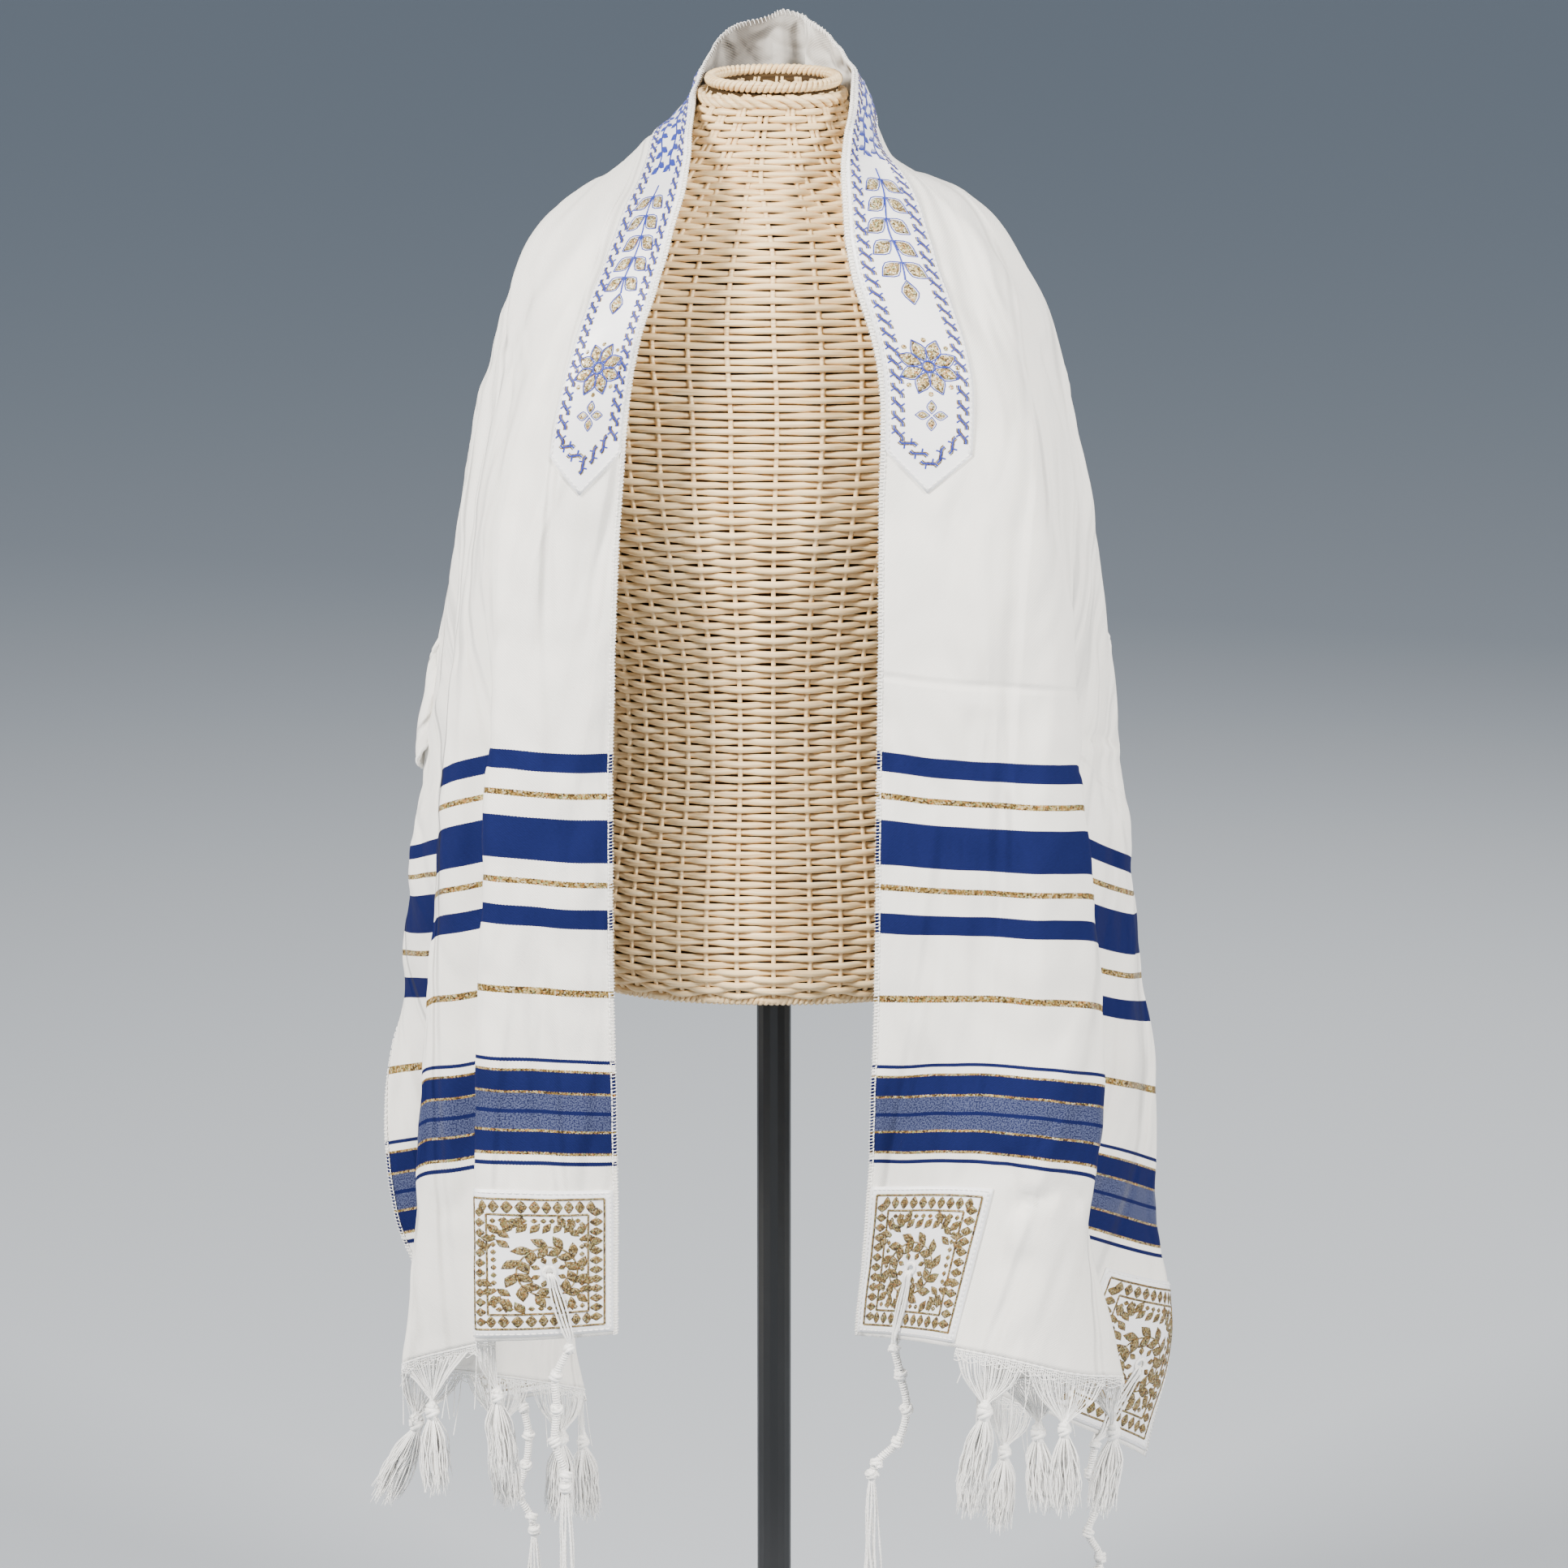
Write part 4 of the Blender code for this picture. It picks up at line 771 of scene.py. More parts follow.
def makeBandEmbroidery():
    blue, gold, pads, bluePads = [], [], bmesh.new(), bmesh.new()
    bold, fine = embroidery["strokeRadius"], embroidery["fineRadius"]

    def outlinedLeaf(middle, turn, length, width, wider, radius):
        padLeaf(pads, middle, turn, length, width)
        blue.append(leafOutline(middle, turn, length + wider[0], width + wider[1], radius))

    for sign in (-1, 1):
        borderStitches(sign, blue, gold)
        start, run = embroidery["vine"]  # two vines of solid leaves on the shoulder
        for part in (-1, 1):
            def vineAt(u):
                return sign * (start + run * u), bandMiddle + part * (0.0076 + 0.0014 * math.sin(13 * u))
            blue.append(([vineAt(k / 18) for k in range(19)], bold))
            for k in range(6):
                root = vineAt((k + 0.5) / 6)
                for lean in (-1, 1):
                    turn = math.atan2(lean * 0.95, sign * 0.62)
                    x, y = polar(root, turn, 0.0036)
                    padLeaf(bluePads, (x + sign * lean * 0.0018, y), turn, *embroidery["vineLeaf"])
        start, run = embroidery["branch"]  # a leafy branch down the front

        def branchAt(u):
            return sign * (start + run * u), bandMiddle + 0.0016 * math.sin(9 * u)
        blue.append(([branchAt(k / 14) for k in range(15)], bold))
        for k in range(5):
            for part in (-1, 1):
                turn = math.atan2(part * 0.92, sign * 0.70)
                leaf = polar(branchAt((k + 0.55) / 5.4), turn, 0.0088)
                outlinedLeaf(leaf, turn, *embroidery["branchLeaf"], (0.0016, 0.0018), fine)
                blue.append((turned(leaf, turn, [(-0.0070, 0.0), (0.0045, 0.0)]), 0.0003))
        end = (sign * embroidery["branchEnd"], bandMiddle + 0.0012)
        outlinedLeaf(end, 0.0, 0.0140, 0.0080, (0.0016, 0.0018), fine)
        centre = (sign * embroidery["rosette"], bandMiddle)  # eight petals above the point
        for k in range(8):
            turn = fullTurn * k / 8 + 0.39
            outlinedLeaf(polar(centre, turn, 0.0104), turn, 0.0132, 0.0074, (0.0014, 0.0014), fine)
            padLeaf(pads, polar(centre, turn + 0.39, 0.0164), 0.0, 0.0030, 0.0030, 0.0)
        padLeaf(pads, centre, 0.0, 0.0060, 0.0060, 0.0)
        blue.append(ringStroke(centre, 0.0036, 16, bold))
        for turn in circle(4)[:4]:
            leaf = polar((sign * embroidery["flower"], bandMiddle), turn, 0.0050)
            outlinedLeaf(leaf, turn, 0.0068, 0.0042, (0.0014, 0.0012), 0.00034)
    for far in embroidery["blossoms"]:  # behind the neck
        centre = (far, bandMiddle)
        for turn in circle(6)[:6]:
            blue.append(leafOutline(polar(centre, turn, 0.0056), turn, 0.0084, 0.0046, bold))
        padLeaf(pads, centre, 0.0, 0.0036, 0.0036, 0.0)
    threadPiece("neckbandBlueSilk", layStrokes(blue), silkBlue)
    threadPiece("neckbandGoldOutline", layStrokes(gold), lurexDeep)
    for name, bm, material in (("neckbandBluePads", bluePads, silkBlue), ("neckbandGoldPads", pads, lurex)):
        layFlat(bm, trimTop)
        addPiece(name, bm, material)


patchLook = {
    "frameInset": (0.0056, 0.0158),
    "lozengePitch": 0.0068,
    "frameRadius": 0.0008,
    "beads": (0.0196, 0.0052),  # inset and pitch of a row
    "fieldLeaves": (0.0246, 0.0066),
    "fieldClear": 0.0272,  # how far the field's leaves keep from the eyelet
    "wreathRadius": 0.0176,
    "wreathLeaves": 12,
    "starReach": 0.0088,
    "ringRadius": 0.0040,
    "ringThickness": 0.0009,
}


def makePatch(where, side, sign):
    name = where + side.capitalize()
    hole = eyeletAt(sign, where)
    inner, outer = halfLength - trimInset - patchLength, halfLength - trimInset
    t0 = trimInset if where == "front" else clothWidth - trimInset - patchWidth
    t1, s0, s1 = t0 + patchWidth, sign * inner, sign * outer
    patch = trimShell("satinPatch" + name, within(lengths, *sorted((s0, s1))), within(widths, t0, t1), [hole])
    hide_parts(f"patch_{where}_{side}")

    def frameAt(inset):
        a, b = s0 + sign * inset, s1 - sign * inset
        return [(a, t0 + inset), (a, t1 - inset), (b, t1 - inset), (b, t0 + inset), (a, t0 + inset)]
    stitches = needleLine(frameAt(sewing["patchStitchInset"]), trimTop)
    for spread, lift in ((1.0, 0.0004), (0.80, 0.0002)):
        flat = numpy.array([polar(hole, a, patchLook["ringRadius"] * spread) for a in circle(14)])
        stitches.append((onCloth(flat[:, 0], flat[:, 1], trimTop + lift), patchLook["ringThickness"]))
    threadPiece("patchSewing" + name, stitches, cotton)

    gold, pads = [], bmesh.new()
    for inset in patchLook["frameInset"]:
        corners = frameAt(inset)
        gold += [([between(a, b, k / 24) for k in range(25)], patchLook["frameRadius"])
                 for a, b in zip(corners, corners[1:])]
    for middle, turn in alongPath(frameAt(sum(patchLook["frameInset"]) / 2), patchLook["lozengePitch"]):
        padLeaf(pads, middle, turn, 0.0064, 0.0086, 0.9)
    inset, pitch = patchLook["beads"]
    for middle, turn in alongPath(frameAt(inset), pitch):
        padLeaf(pads, middle, turn, 0.0040, 0.0036, 0.9)
    inset, pitch = patchLook["fieldLeaves"]
    for middle, turn in alongPath(frameAt(inset), pitch):
        if math.dist(middle, hole) > patchLook["fieldClear"]:
            padLeaf(pads, middle, turn + 0.9, 0.0092, 0.0052)
    wreath = patchLook["wreathRadius"]
    for k in range(patchLook["wreathLeaves"]):
        turn = fullTurn * (k + 0.5) / patchLook["wreathLeaves"]
        for part, far in ((-1, 0.82), (1, 1.20)):
            padLeaf(pads, polar(hole, turn, wreath * far), turn + math.pi / 2 - part * 0.72, 0.0116, 0.0066)
    gold.append(ringStroke(hole, wreath, 40, embroidery["strokeRadius"]))
    for corner in range(4):
        turn = math.pi / 4 + corner * math.pi / 2
        for spread in (-0.80, -0.42, 0.0, 0.42, 0.80):
            leaf = polar(((s0 + s1) / 2, (t0 + t1) / 2), turn + spread * 0.5, 0.0345 - 0.0030 * abs(spread))
            padLeaf(pads, leaf, turn + spread * 1.6, 0.0104, 0.0058)
    for k in range(8):  # a small star of leaves round the eyelet
        turn = math.pi / 4 * (k + 0.5)
        padLeaf(pads, polar(hole, turn, patchLook["starReach"]), turn, 0.0060, 0.0040)
    threadPiece("patchGoldLines" + name, layStrokes(gold), lurexDeep)
    layFlat(pads, trimTop)
    addPiece("patchGoldPads" + name, pads, lurexDeep)


# each cord's knots: aside and down from where it is tied, in millimetres
cordKnots = {
    "front_left": [(0, 0), (-8.5, 18), (-8, 40), (-9.5, 61), (-3, 84), (-3, 92)],
    "front_right": [(0, 0), (4, 17), (8, 40), (2, 62), (-11, 76), (-14, 83)],
    "rear_left": [(0, 0), (3, 19), (1, 40), (-4, 60), (4, 77), (6, 86)],
    "rear_right": [(0, 0), (-3, 20), (2, 42), (-4, 61), (4, 79), (3, 88)],
}
cordSlant = {"front_left": -0.012, "front_right": -0.003, "rear_left": 0.006, "rear_right": -0.004}
# how far each tassel's tuft swings aside and forward, from the patch outwards, in millimetres
tasselLeans = {
    "left": [(4, 0), (2, -2), (-20, 0), (3, 2), (-2, 0), (2, 2)],
    "right": [(-8, 0), (1, -2), (-7, 0), (3, 2), (-3, 0), (-4, 2)],
}
fringeLook = {
    # how far each pick lies past the hem, its wave and radius
    "picks": [(0.0008, 0.0, 0.0009), (0.0024, 0.0004, 0.0004), (0.0040, 0.0006, 0.00036)],
    "loosePicks": [(0.0056, 0.0007), (0.0074, 0.0008)],  # they hold the threads in a net
    "warpPitch": 0.00125,
    "stripGap": 0.0007,
    "stripHeight": 0.0040,
    "stripClear": 0.0020,
    "knotDrop": 0.034,
    "knotSize": 0.0052,
    "fanThreads": 32,
    "tuftThreads": 120,
    "tuftLength": 0.060,
    "looseThreads": 26,
    "threadRadius": 0.00042,
}


def upward(distance):
    return Vector((0, 0, distance))


def scatter(dice, reach):
    return Vector((dice.uniform(-1, 1), dice.uniform(-1, 1), 0)) * reach


def flatRing(turn, across, deep):
    return Vector((math.cos(turn) * across, math.sin(turn) * deep, 0.0))


def wound(middle, axis, radius, turns, rise, thickness, start=0.0):
    axis = Vector(axis).normalized()
    side = axis.orthogonal().normalized()
    other = axis.cross(side)
    count = max(8, int(turns * 12))
    points = []
    for k in range(count + 1):
        a = start + fullTurn * turns * k / count
        points.append(middle + axis * rise * (k / count - 0.5)
                      + side * math.cos(a) * radius + other * math.sin(a) * radius)
    return points, thickness


def smoothPath(corners, steps):
    keys = [0.0]
    for a, b in zip(corners, corners[1:]):
        keys.append(keys[-1] + max(1e-5, (Vector(b) - Vector(a)).length))
    return curveThrough(keys, [tuple(c) for c in corners], numpy.linspace(0, keys[-1], steps))


def tasselKnot(tie, size):
    turns = [wound(tie + upward(size * up), axis, size * radius, count, size * rise, size * thick, start)
             for up, axis, radius, count, rise, thick, start in (
                 (0.10, (0.25, 0.1, 1), 0.62, 1.6, 0.9, 0.36, 0.3),
                 (-0.25, (-0.35, 0.2, 1), 0.66, 1.5, 0.8, 0.34, 2.1),
                 (0.0, (0.9, 0.3, 0.7), 0.55, 1.2, 0.3, 0.32, 4.0))]
    core = ((1.3, 0.35), (0.4, 0.75), (-0.5, 0.72), (-1.4, 0.42))
    return turns + [([tie + upward(size * up) for up, _ in core], [size * radius for _, radius in core])]


def makeFringe(side, sign):
    dice = random.Random(40 + sign)
    first = trimInset + patchWidth + fringeLook["stripClear"]
    last = clothWidth - first
    gap, height, radius = fringeLook["stripGap"], fringeLook["stripHeight"], fringeLook["threadRadius"]
    across = numpy.linspace(first, last, 240)
    # the woven heading: wavy picks across short warp ends, under a corded hem line
    paths = [([pastHem(sign, t, far + wave * math.sin(t * 900 + far * 4000), 0.0003 * math.sin(t * 1500))
               for t in across], thick) for far, wave, thick in fringeLook["picks"]]
    paths += [([pastHem(sign, t, far + wave * math.sin(t * 700 + far * 9000), 0.0004 * math.sin(t * 1300))
                for t in across], 0.00030) for far, wave in fringeLook["loosePicks"]]
    for t in numpy.arange(first, last, fringeLook["warpPitch"]):
        t = t + dice.uniform(-0.0002, 0.0002)
        paths.append(([pastHem(sign, t, d, 0.0002) for d in (-0.0004, 0.0022, gap + height)], radius * 0.8))
    pitch = (last - first) / len(tasselLeans[side])
    for k, (aside, ahead) in enumerate(metres(tasselLeans[side])):
        middle = first + pitch * (k + 0.5)
        centre = Vector(pastHem(sign, middle, gap + height * 0.55))
        tie = centre + Vector((aside * 0.3, ahead, -fringeLook["knotDrop"]))
        size = fringeLook["knotSize"] * dice.uniform(0.9, 1.1)
        count = fringeLook["fanThreads"]
        for i in range(count):
            share = 2 * (i + dice.uniform(-0.3, 0.3)) / (count - 1) - 1
            out = dice.uniform(-3e-4, 3e-4)
            root = Vector(pastHem(sign, middle + pitch * 0.47 * share, gap + height * 0.9, out))
            inward = tie + Vector((share * 0.0016, dice.uniform(-0.0012, 0.0012), size * 0.8))
            mid = root.lerp(inward, 0.42) + Vector((share * 0.0026, dice.uniform(-0.0014, 0.0014), -0.0018))
            low = root.lerp(inward, 0.78) + Vector((share * 0.0009, dice.uniform(-0.0008, 0.0008), -0.0010))
            paths.append((smoothPath([root, mid, low, inward, tie], 9), radius))
        paths += tasselKnot(tie, size)
        sway = Vector((aside, ahead, 0.0))
        for _ in range(fringeLook["tuftThreads"]):
            turn = dice.uniform(0, fullTurn)
            far = math.sqrt(dice.random())
            ring = flatRing(turn, 1.0, 0.8) * far
            reach = fringeLook["tuftLength"] * dice.uniform(0.80, 1.0) * (1.0 - 0.10 * far)
            wave = scatter(dice, 0.0014)
            start = tie + ring * 0.0020 - upward(size * 0.7)
            belly = tie + ring * 0.0084 + sway * 0.30 - upward(reach * 0.38) + wave
            low = tie + ring * 0.0098 + sway * 0.70 - upward(reach * 0.72) - wave
            end = tie + ring * 0.0096 + sway - upward(reach) + wave * 1.5
            paths.append((smoothPath([start, belly, low, end], 10), [radius] * 8 + [radius * 0.8, radius * 0.35]))
    for _ in range(fringeLook["looseThreads"]):  # threads that slipped out of the knots
        root = Vector(pastHem(sign, dice.uniform(first, last), gap + height))
        drop = dice.uniform(0.012, 0.045)
        bend = scatter(dice, 0.005)
        bends = [root, root + bend * 0.5 - upward(drop * 0.5), root + bend * 1.2 - upward(drop)]
        paths.append((smoothPath(bends, 7), radius * 0.8))
    fringe = threadPiece("fringeThreads" + side.capitalize(), paths, cotton)
    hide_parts(f"fringe_{side}")


cordLook = {
    "tieDrop": (0.007, 0.001),  # past the hem, and out from the cloth
    "plyRadius": 0.00080,
    "cordRadius": 0.0024,
    "windingPitch": 0.00165,
    "knotRadius": 0.0050,
    "strands": 8,
    "strandRadius": 0.00090,
    "strandLength": 0.165,
    "strandSpread": 0.0075,
    "strandTwist": 0.0046,
}


def measured(line):  # the distance along it at each of its points
    return numpy.concatenate([[0.0], numpy.cumsum(numpy.linalg.norm(numpy.diff(line, axis=0), axis=1))])


def unit(vectors):
    return vectors / numpy.linalg.norm(vectors, axis=1, keepdims=True)


def placesAlong(line, arc, at):
    return numpy.stack([numpy.interp(at, arc, line[:, i]) for i in range(3)], axis=1)


def makeCornerCord(where, side, sign):
    name = f"{where}_{side}"
    dice = random.Random(len(name) * 7 + sign)
    s, t = eyeletAt(sign, where)
    hemT = t + cordSlant[name]
    tie = Vector(pastHem(sign, hemT, *cordLook["tieDrop"]))
    ply = cordLook["plyRadius"]
    paths = []
    for k in range(4):  # four threads doubled through the eyelet make eight
        spread = (k - 1.5) * ply * 1.7
        outer, inner = ([tuple(onCloth(s + (sign * halfLength - s) * u,
                                       t + (hemT - t) * u + spread * (0.6 + 1.2 * math.sin(3 * u)), height))
                         for u in (0.04, 0.25, 0.5, 0.75, 1.0)]
                        for height in (trimTop + ply * (1.25 + 0.6 * (k % 2)), -0.0006 - ply * (1.3 + 0.6 * (k % 2))))
        through = [tuple(onCloth(s + sign * 0.0016, t + spread * 0.5, h)) for h in (trimTop + 0.0006, 0.0, -0.0010)]
        knotIn = tie + Vector((spread * 0.8, 0.0, 0.0025))
        corners = [knotIn] + outer[::-1] + through + inner + [knotIn + Vector((0, 0.0012, 0))]
        paths.append((smoothPath(corners, 44), ply))
    knots = [tie + Vector((aside, 0.0, -down)) for aside, down in metres(cordKnots[name])]
    line = smoothPath(knots, 90)
    paths.append((line, cordLook["cordRadius"] * 0.72))
    # windings between the knots
    arc = measured(line)
    at = numpy.linspace(0, arc[-1], int(arc[-1] / cordLook["windingPitch"] * 9))
    core = placesAlong(line, arc, at)
    ahead = unit(numpy.gradient(core, axis=0))
    sideways = unit(numpy.cross(ahead, [0.0, 1.0, 0.0]))
    other = numpy.cross(ahead, sideways)
    a = (fullTurn * at / cordLook["windingPitch"])[:, None]
    offset = (sideways * numpy.cos(a) + other * numpy.sin(a)) * cordLook["cordRadius"] * 0.80
    paths.append((core + offset, ply * 1.05))
    for k, middle in enumerate(knots):
        size = cordLook["knotRadius"] * (1.0 if k else 0.9)
        tilt = (0.5 * math.sin(k * 2.1 + sign), 0.4 * math.cos(k * 1.7), 1.0)
        paths.append(wound(middle, tilt, size * 0.62, 2.2, size * 1.0, ply * 1.75, k))
        paths.append(wound(middle, (1.0, 0.3, 0.45 + 0.2 * k), size * 0.56, 1.6, size * 0.6, ply * 1.7, k * 2))
        paths.append(([middle + upward(size * 0.6), middle, middle - upward(size * 0.6)],
                      [size * 0.40, size * 0.62, size * 0.40]))
    end, count = knots[-1], cordLook["strands"]
    for i in range(count):
        turn = fullTurn * i / count
        ring = flatRing(turn, 1.2, 0.7) * cordLook["strandSpread"]
        reach = cordLook["strandLength"] * (0.93 + 0.07 * math.sin(3 * turn + len(name)))
        corners = [end + ring * 0.10, end + ring * 0.34 - upward(reach * 0.12)]
        for part in range(1, 6):
            share = 0.12 + 0.88 * part / 5
            corners.append(end + ring * (0.30 + 0.55 * share) + scatter(dice, 0.0014) - upward(reach * share))
        path = smoothPath(corners, 60)
        spin = numpy.linspace(0, reach / cordLook["strandTwist"] * fullTurn, 60)[:, None]
        for half in (0, math.pi):  # two plies laid round each other
            aside = numpy.concatenate([numpy.cos(spin + half), numpy.sin(spin + half), spin * 0], axis=1)
            paths.append((path + aside * ply * 0.42, cordLook["strandRadius"] * 0.62))
    cord = threadPiece("knottedCord" + where.capitalize() + side.capitalize(), paths, cotton)
    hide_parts(f"tzitzit_{name}")


# each ring of the form: height, half width, front and back in y, shift aside
formRings = [
    (1230, 42.5, -40.5, 39.5, 0), (1200, 60, -44, 41.5, -3), (1178, 84.2, -50, 46, -3.6),
    (1160, 109.2, -58, 57, -1.5), (1147, 127.6, -65, 69, -0.2), (1132, 140.4, -73, 80, 0),
    (1112, 154, -82, 90, -0.4), (1085, 165, -90, 99, 0.4), (1040, 162, -100, 106, 2.2),
    (985, 154, -105, 102, 1), (930, 137, -94, 90, 0), (870, 122, -81, 79, 0), (810, 119, -79, 78, 0),
    (750, 128, -85, 85, 0), (700, 133, -88, 90, 0), (672, 130, -86, 88, 0), (660, 121, -78, 80, 0),
]
wicker = {
    "squareness": 2.25,
    "inset": 0.0042,  # middle of the weave under the form's outer surface
    "weaverRadius": 0.0022,
    "weave": 0.0020,
    "rowPitch": 0.0048,
    "neckTilt": 0.055,  # the neck ring leans forward: its back stands higher
    "stakes": 44,
    "stakeRadius": 0.0017,
    # how far in the dark sheet of painted shade lies
    "shadeSheetInset": 0.0082,
    "neckFloor": 0.058,  # how far down the skin the dish inside the neck lies
    "neckEnd": 0.115,
    "neckRim": (0.925, 0.0030, 0.0021),  # share of the ring, how far it is raised, radius
    "footRim": (0.975, 0.0042, 0.0022),
    "rimPitch": 0.0036,
    "sides": 64,  # of the dark sheets of painted shade
}
formTable = numpy.array(metres(formRings))


def formLoops(rings):
    far = [0.0]
    for a, b in zip(rings, rings[1:]):
        wide = math.hypot(b[0] - a[0], b[1] - a[1])
        deep = math.hypot(b[0] - a[0], b[2] - a[2])
        far.append(far[-1] + (wide + deep) / 2)
    return far


formKeys = formLoops(formTable)


def formPlace(far, angles):
    z, halfWidth, front, back, aside = curveThrough(formKeys, formTable, [far])[0]
    power = 2 / wicker["squareness"]
    c, s = numpy.cos(angles), numpy.sin(angles)
    x = aside + halfWidth * numpy.sign(c) * numpy.abs(c) ** power
    y = (front + back) / 2 + (back - front) / 2 * numpy.sign(s) * numpy.abs(s) ** power
    return numpy.stack([x, y, numpy.full_like(x, z)], axis=1)


def tilted(places, far):
    return (places[:, 1] + 0.040) * wicker["neckTilt"] * max(0.0, 1 - far / 0.05)


def formSkin(far, angles, inset):
    here = formPlace(far, angles)
    step = 0.001
    down = formPlace(min(far + step, formKeys[-1]), angles) - formPlace(max(far - step, 0.0), angles)
    out = unit(numpy.cross(down, formPlace(far, angles + 0.01) - formPlace(far, angles - 0.01)))
    here[:, 2] += tilted(here, far)
    return here - out * (numpy.asarray(inset)[..., None] if numpy.ndim(inset) else inset)


def makeWeave():
    last, stakes = formKeys[-1], wicker["stakes"]
    rows = int((last - 0.004) / wicker["rowPitch"])
    angles = numpy.linspace(0, fullTurn, stakes * 3 + 1)
    groups = {"wickerNeckWeave": [], "wickerTorsoWeave": []}
    for k in range(rows + 1):
        far = 0.0125 + (last - 0.0155) * k / rows
        slow = 0.5 if far < wicker["neckFloor"] else 1.0
        stagger = -math.pi / 4 if slow < 1 else 0.0  # near the neck each weaver passes over paired stakes
        bend = numpy.cos(angles * stakes / 2 * slow + stagger) * (1 if k % 2 else -1) * wicker["weave"]
        noisy = numpy.array([noise.noise(Vector((math.cos(a) * 3, math.sin(a) * 3, k * 0.7))) for a in angles])
        noisy[-1] = noisy[0]
        ring = formSkin(far, angles, wicker["inset"] + bend + 0.0003 * noisy)
        ring[:, 2] += 0.00045 * noisy * (1 if far > 0.02 else 0.3)
        ring[-1] = ring[0]
        name = "wickerNeckWeave" if far < wicker["neckEnd"] else "wickerTorsoWeave"
        groups[name].append((ring, wicker["weaverRadius"] * (1 + 0.12 * noisy)))
    uprights = []
    for k in range(stakes):
        points = []
        for far in numpy.linspace(0.001, last - 0.001, 80):
            spread = float(numpy.interp(far, [0.0, wicker["neckFloor"], 0.12], [0.44, 0.50, 1.0]))
            a = fullTurn * (2 * (k // 2) + 0.5 + ((k % 2) - 0.5) * spread) / stakes
            points.append(formSkin(far, numpy.array([a]), wicker["inset"])[0])
        uprights.append((points, wicker["stakeRadius"]))
    pieces = [threadPiece(name, paths, rattan, roundness=1) for name, paths in groups.items()]
    return pieces + [threadPiece("wickerStakes", uprights, rattan)]


def wrappedRim(name, ring, far, look):
    share, raised, radius = look
    middle, pitch = ring.mean(axis=0), wicker["rimPitch"]
    ring = middle + (ring - middle) * [share, share, 1.0] + [0, 0, raised]
    ring[:, 2] += tilted(ring, far)
    ring[-1] = ring[0]
    arc = measured(ring)
    turns = 2 * round(arc[-1] / pitch / 2)
    at = numpy.linspace(0, arc[-1], turns * 6 + 1)
    core = placesAlong(ring, arc, at)
    ahead = numpy.roll(core[:-1], -1, axis=0) - numpy.roll(core[:-1], 1, axis=0)
    ahead = unit(numpy.concatenate([ahead, ahead[:1]]))
    up = numpy.array([0.0, 0.0, 1.0])
    out = unit(numpy.cross(ahead, up))
    paths = [(core, radius * 0.86)]
    for start in (0.0, math.pi):  # two strands wound side by side, so that the wraps slant
        a = (math.pi * at / arc[-1] * turns + start)[:, None]
        paths.append((core + (out * numpy.cos(a) + up * numpy.sin(a)) * radius, pitch * 0.46))
    return threadPiece(name, paths, rattan, roundness=1)


def neckWale():  # three strands laid over and under one another just below the rim
    angles = numpy.linspace(0, fullTurn, 265)
    paths = []
    for k in range(3):
        turn = 11 * angles + fullTurn * k / 3
        ring = formSkin(0.0062, angles, wicker["inset"] - 0.0016 - 0.0020 * numpy.sin(turn))
        ring[:, 2] += 0.0024 * numpy.cos(turn)
        ring[-1] = ring[0]
        paths.append((ring, 0.0021))
    return threadPiece("wickerNeckWale", paths, rattan, roundness=1)


def shadeSheetPiece(name, fars, inset, lip, closed):
    bm = bmesh.new()
    rows, sides = len(fars) - 1, wicker["sides"]
    bmesh.ops.create_grid(bm, x_segments=rows, y_segments=sides, size=0.5)
    table = [formSkin(far, numpy.arange(sides) * fullTurn / sides, inset) for far in fars]
    for v in bm.verts:
        lift = lip * (0.5 - v.co.x) ** 6
        v.co = table[round((v.co.x + 0.5) * rows)][round((v.co.y + 0.5) * sides) % sides] + [0, 0, lift]
    bmesh.ops.remove_doubles(bm, verts=bm.verts, dist=1e-6)
    if closed:
        bmesh.ops.holes_fill(bm, edges=[edge for edge in bm.edges if edge.is_boundary], sides=0)
    return addPiece(name, bm, rattanShade, turnOut=closed)


def makeForm():
    angles = numpy.linspace(0, fullTurn, 97)
    floor, foot = wicker["neckFloor"], formKeys[-1]
    pieces = makeWeave()
    pieces.append(wrappedRim("wickerNeckRim", formPlace(0.0, angles), 0.0, wicker["neckRim"]))
    pieces.append(neckWale())
    pieces.append(wrappedRim("wickerFootRim", formPlace(foot, angles), foot, wicker["footRim"]))
    # a dark sheet of painted shade seen through the weave, standing in for the shade inside the hollow form, closed
    # below and dished at the neck
    fars = numpy.linspace(floor, foot - 0.002, 61)
    pieces.append(shadeSheetPiece("wickerLining", fars, wicker["shadeSheetInset"], 0.0, True))
    # a dark sleeve of painted shade between the strands of the open neck, whose lip reaches up to the rim
    fars = 0.001 + floor * numpy.arange(9) / 8
    sleeve = shadeSheetPiece("wickerNeckSleeve", fars, wicker["inset"] + 0.0008, 0.0045, False)
    solidShell(sleeve, 0.0008, 0.0)
    for piece in pieces + [sleeve]:
        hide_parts("dress_form")


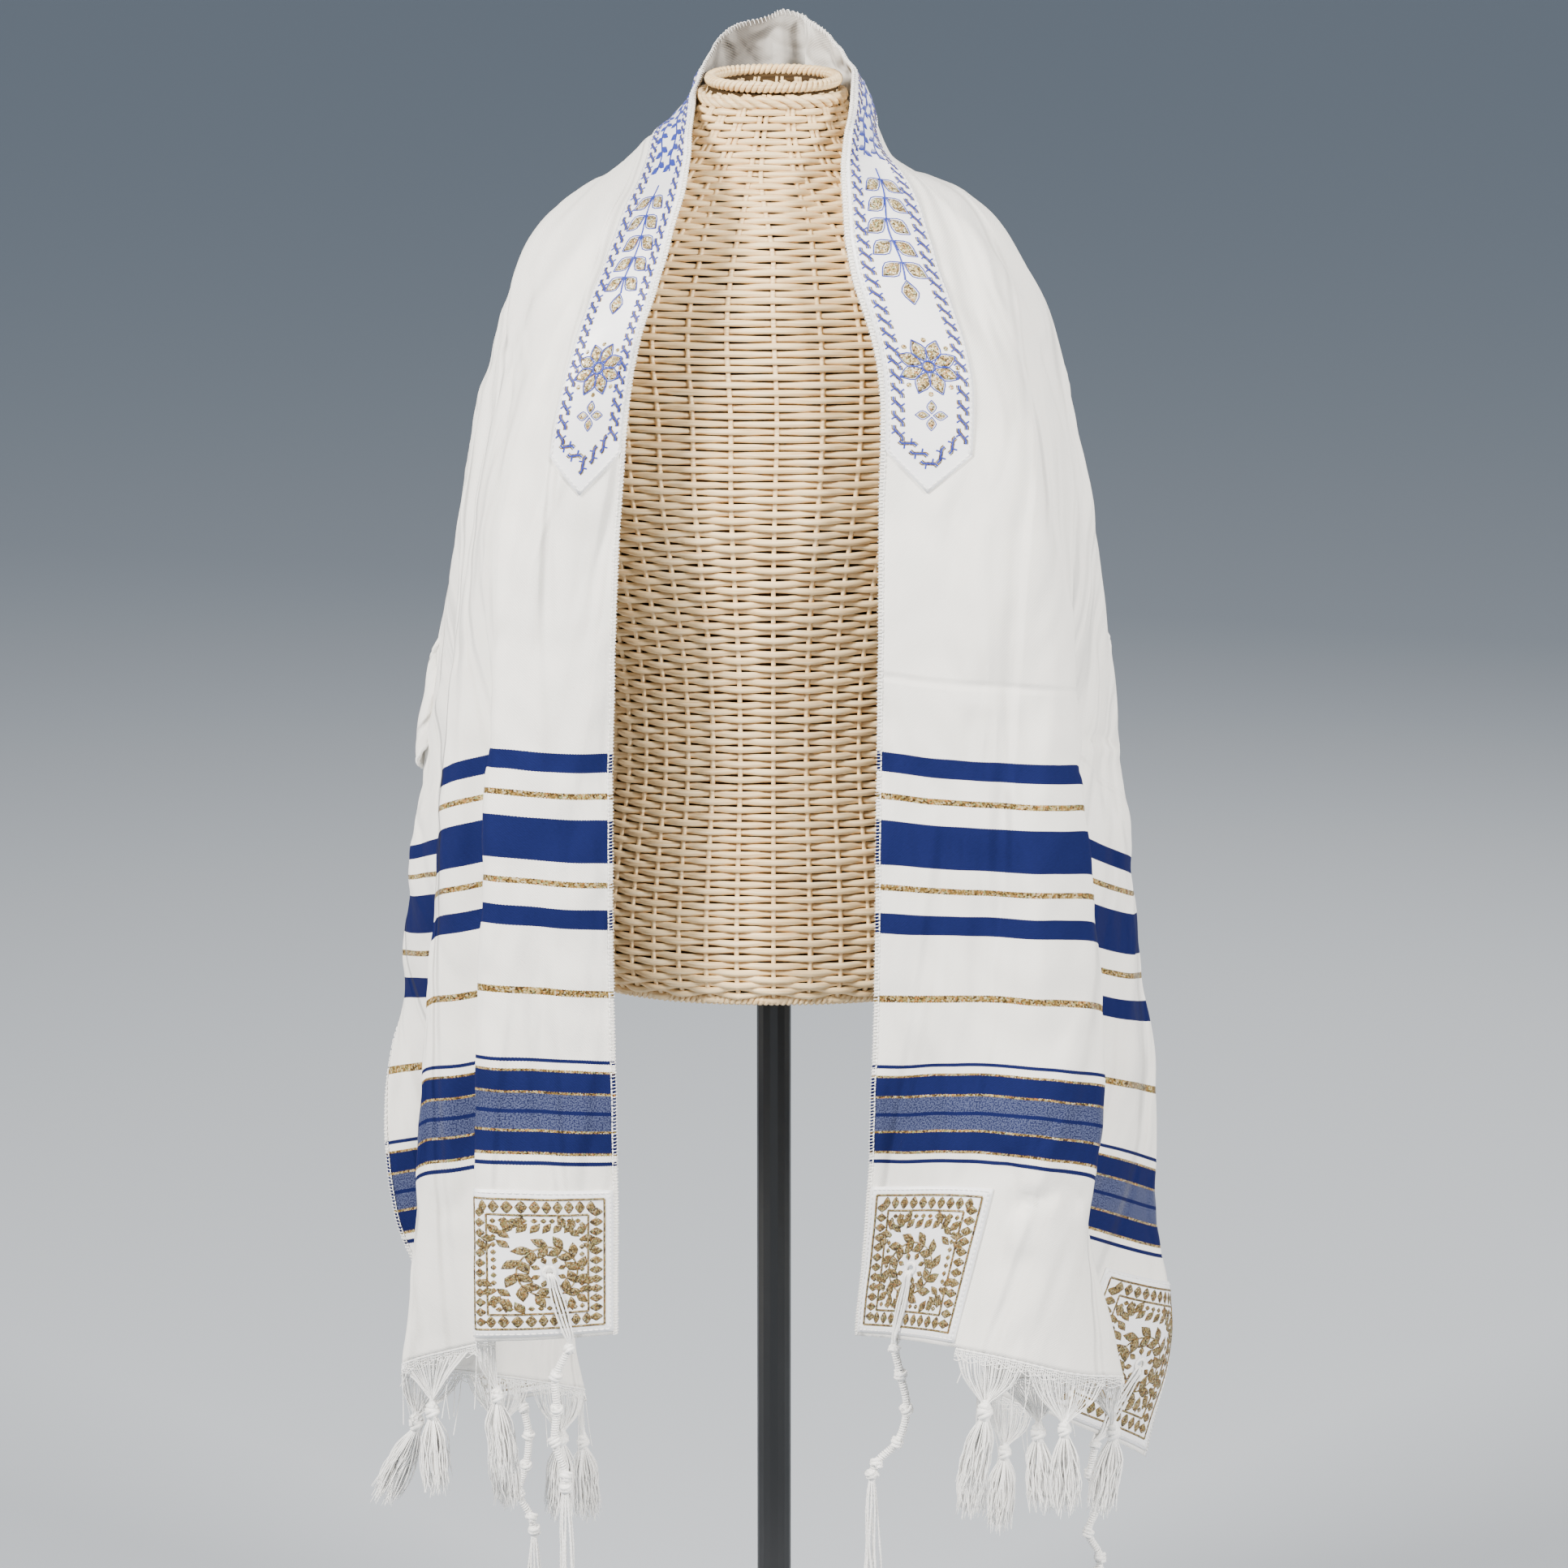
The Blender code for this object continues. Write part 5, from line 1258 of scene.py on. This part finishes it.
shawl = makeShawl()
print("shawl laid")
overlock("overlockNeckEdge", 0.0, 1)
overlock("overlockOuterEdge", clothWidth, -1)
makeNeckband()
makeBandEmbroidery()
corners = [(where, side, sign) for side, sign in (("left", -1), ("right", 1)) for where in ("front", "rear")]
for corner in corners:
    makePatch(*corner)
print("band and patches sewn")
makeFringe("left", -1)
makeFringe("right", 1)
for corner in corners:
    makeCornerCord(*corner)
print("fringe and cords tied")
makeForm()
print("form woven")
for node in ("stand_pole", "stand_base"):
    for slot in bpy.data.objects[node].material_slots:
        slot.material = paintedSteel

stage = {
    "floor": "#AEB3BA",
    "sky": "#D3E2F2",
    "skyStrength": 0.42,
    "lamp": "#FFFAF2",
    "lamps": {  # place, the height aimed at, size, watts
        "keyLight": ((-1.9, -1.7, 2.6), 1.05, 0.7, 250),
        "fillLight": ((2.1, -1.9, 2.3), 1.05, 0.6, 185),
        "backLight": ((0.9, 2.6, 2.7), 0.9, 1.6, 90),
    },
    "cameraPlace": (0.0065, -3.45, 1.57),
    "cameraTilt": 12.8,  # degrees downwards
    "lens": 127.27,
}


def place(name, data, location):
    holder = bpy.data.objects.new(name, data)
    holder.location = location
    scene.collection.objects.link(holder)
    return holder


def makeStage():
    material, _, shader = newMaterial("paintedFloor")
    fillSockets(shader, {"Base Color": stage["floor"], "Roughness": 0.8})
    bm = bmesh.new()
    bmesh.ops.create_grid(bm, x_segments=1, y_segments=1, size=40)
    mesh = bpy.data.meshes.new("floor")
    bm.to_mesh(mesh)
    bm.free()
    mesh.materials.append(material)
    place("floor", mesh, (0, 0, 0))
    world = bpy.data.worlds.new("softSky")
    world.use_nodes = True
    scene.world = world
    fillSockets(world.node_tree.nodes["Background"], {"Color": stage["sky"], "Strength": stage["skyStrength"]})
    for name, (location, aim, size, watts) in stage["lamps"].items():
        lamp = bpy.data.lights.new(name, "AREA")
        lamp.size = size
        lamp.energy = watts
        lamp.color = linearColour(stage["lamp"])[:3]
        holder = place(name, lamp, location)
        holder.rotation_euler = (Vector((0, 0, aim)) - Vector(location)).to_track_quat("-Z", "Y").to_euler()
    view = bpy.data.cameras.new("camera")
    view.lens = stage["lens"]
    view.sensor_width = 36
    scene.camera = place("camera", view, stage["cameraPlace"])
    scene.camera.rotation_euler = (math.radians(90 - stage["cameraTilt"]), 0, 0)


makeStage()
print("stage set")
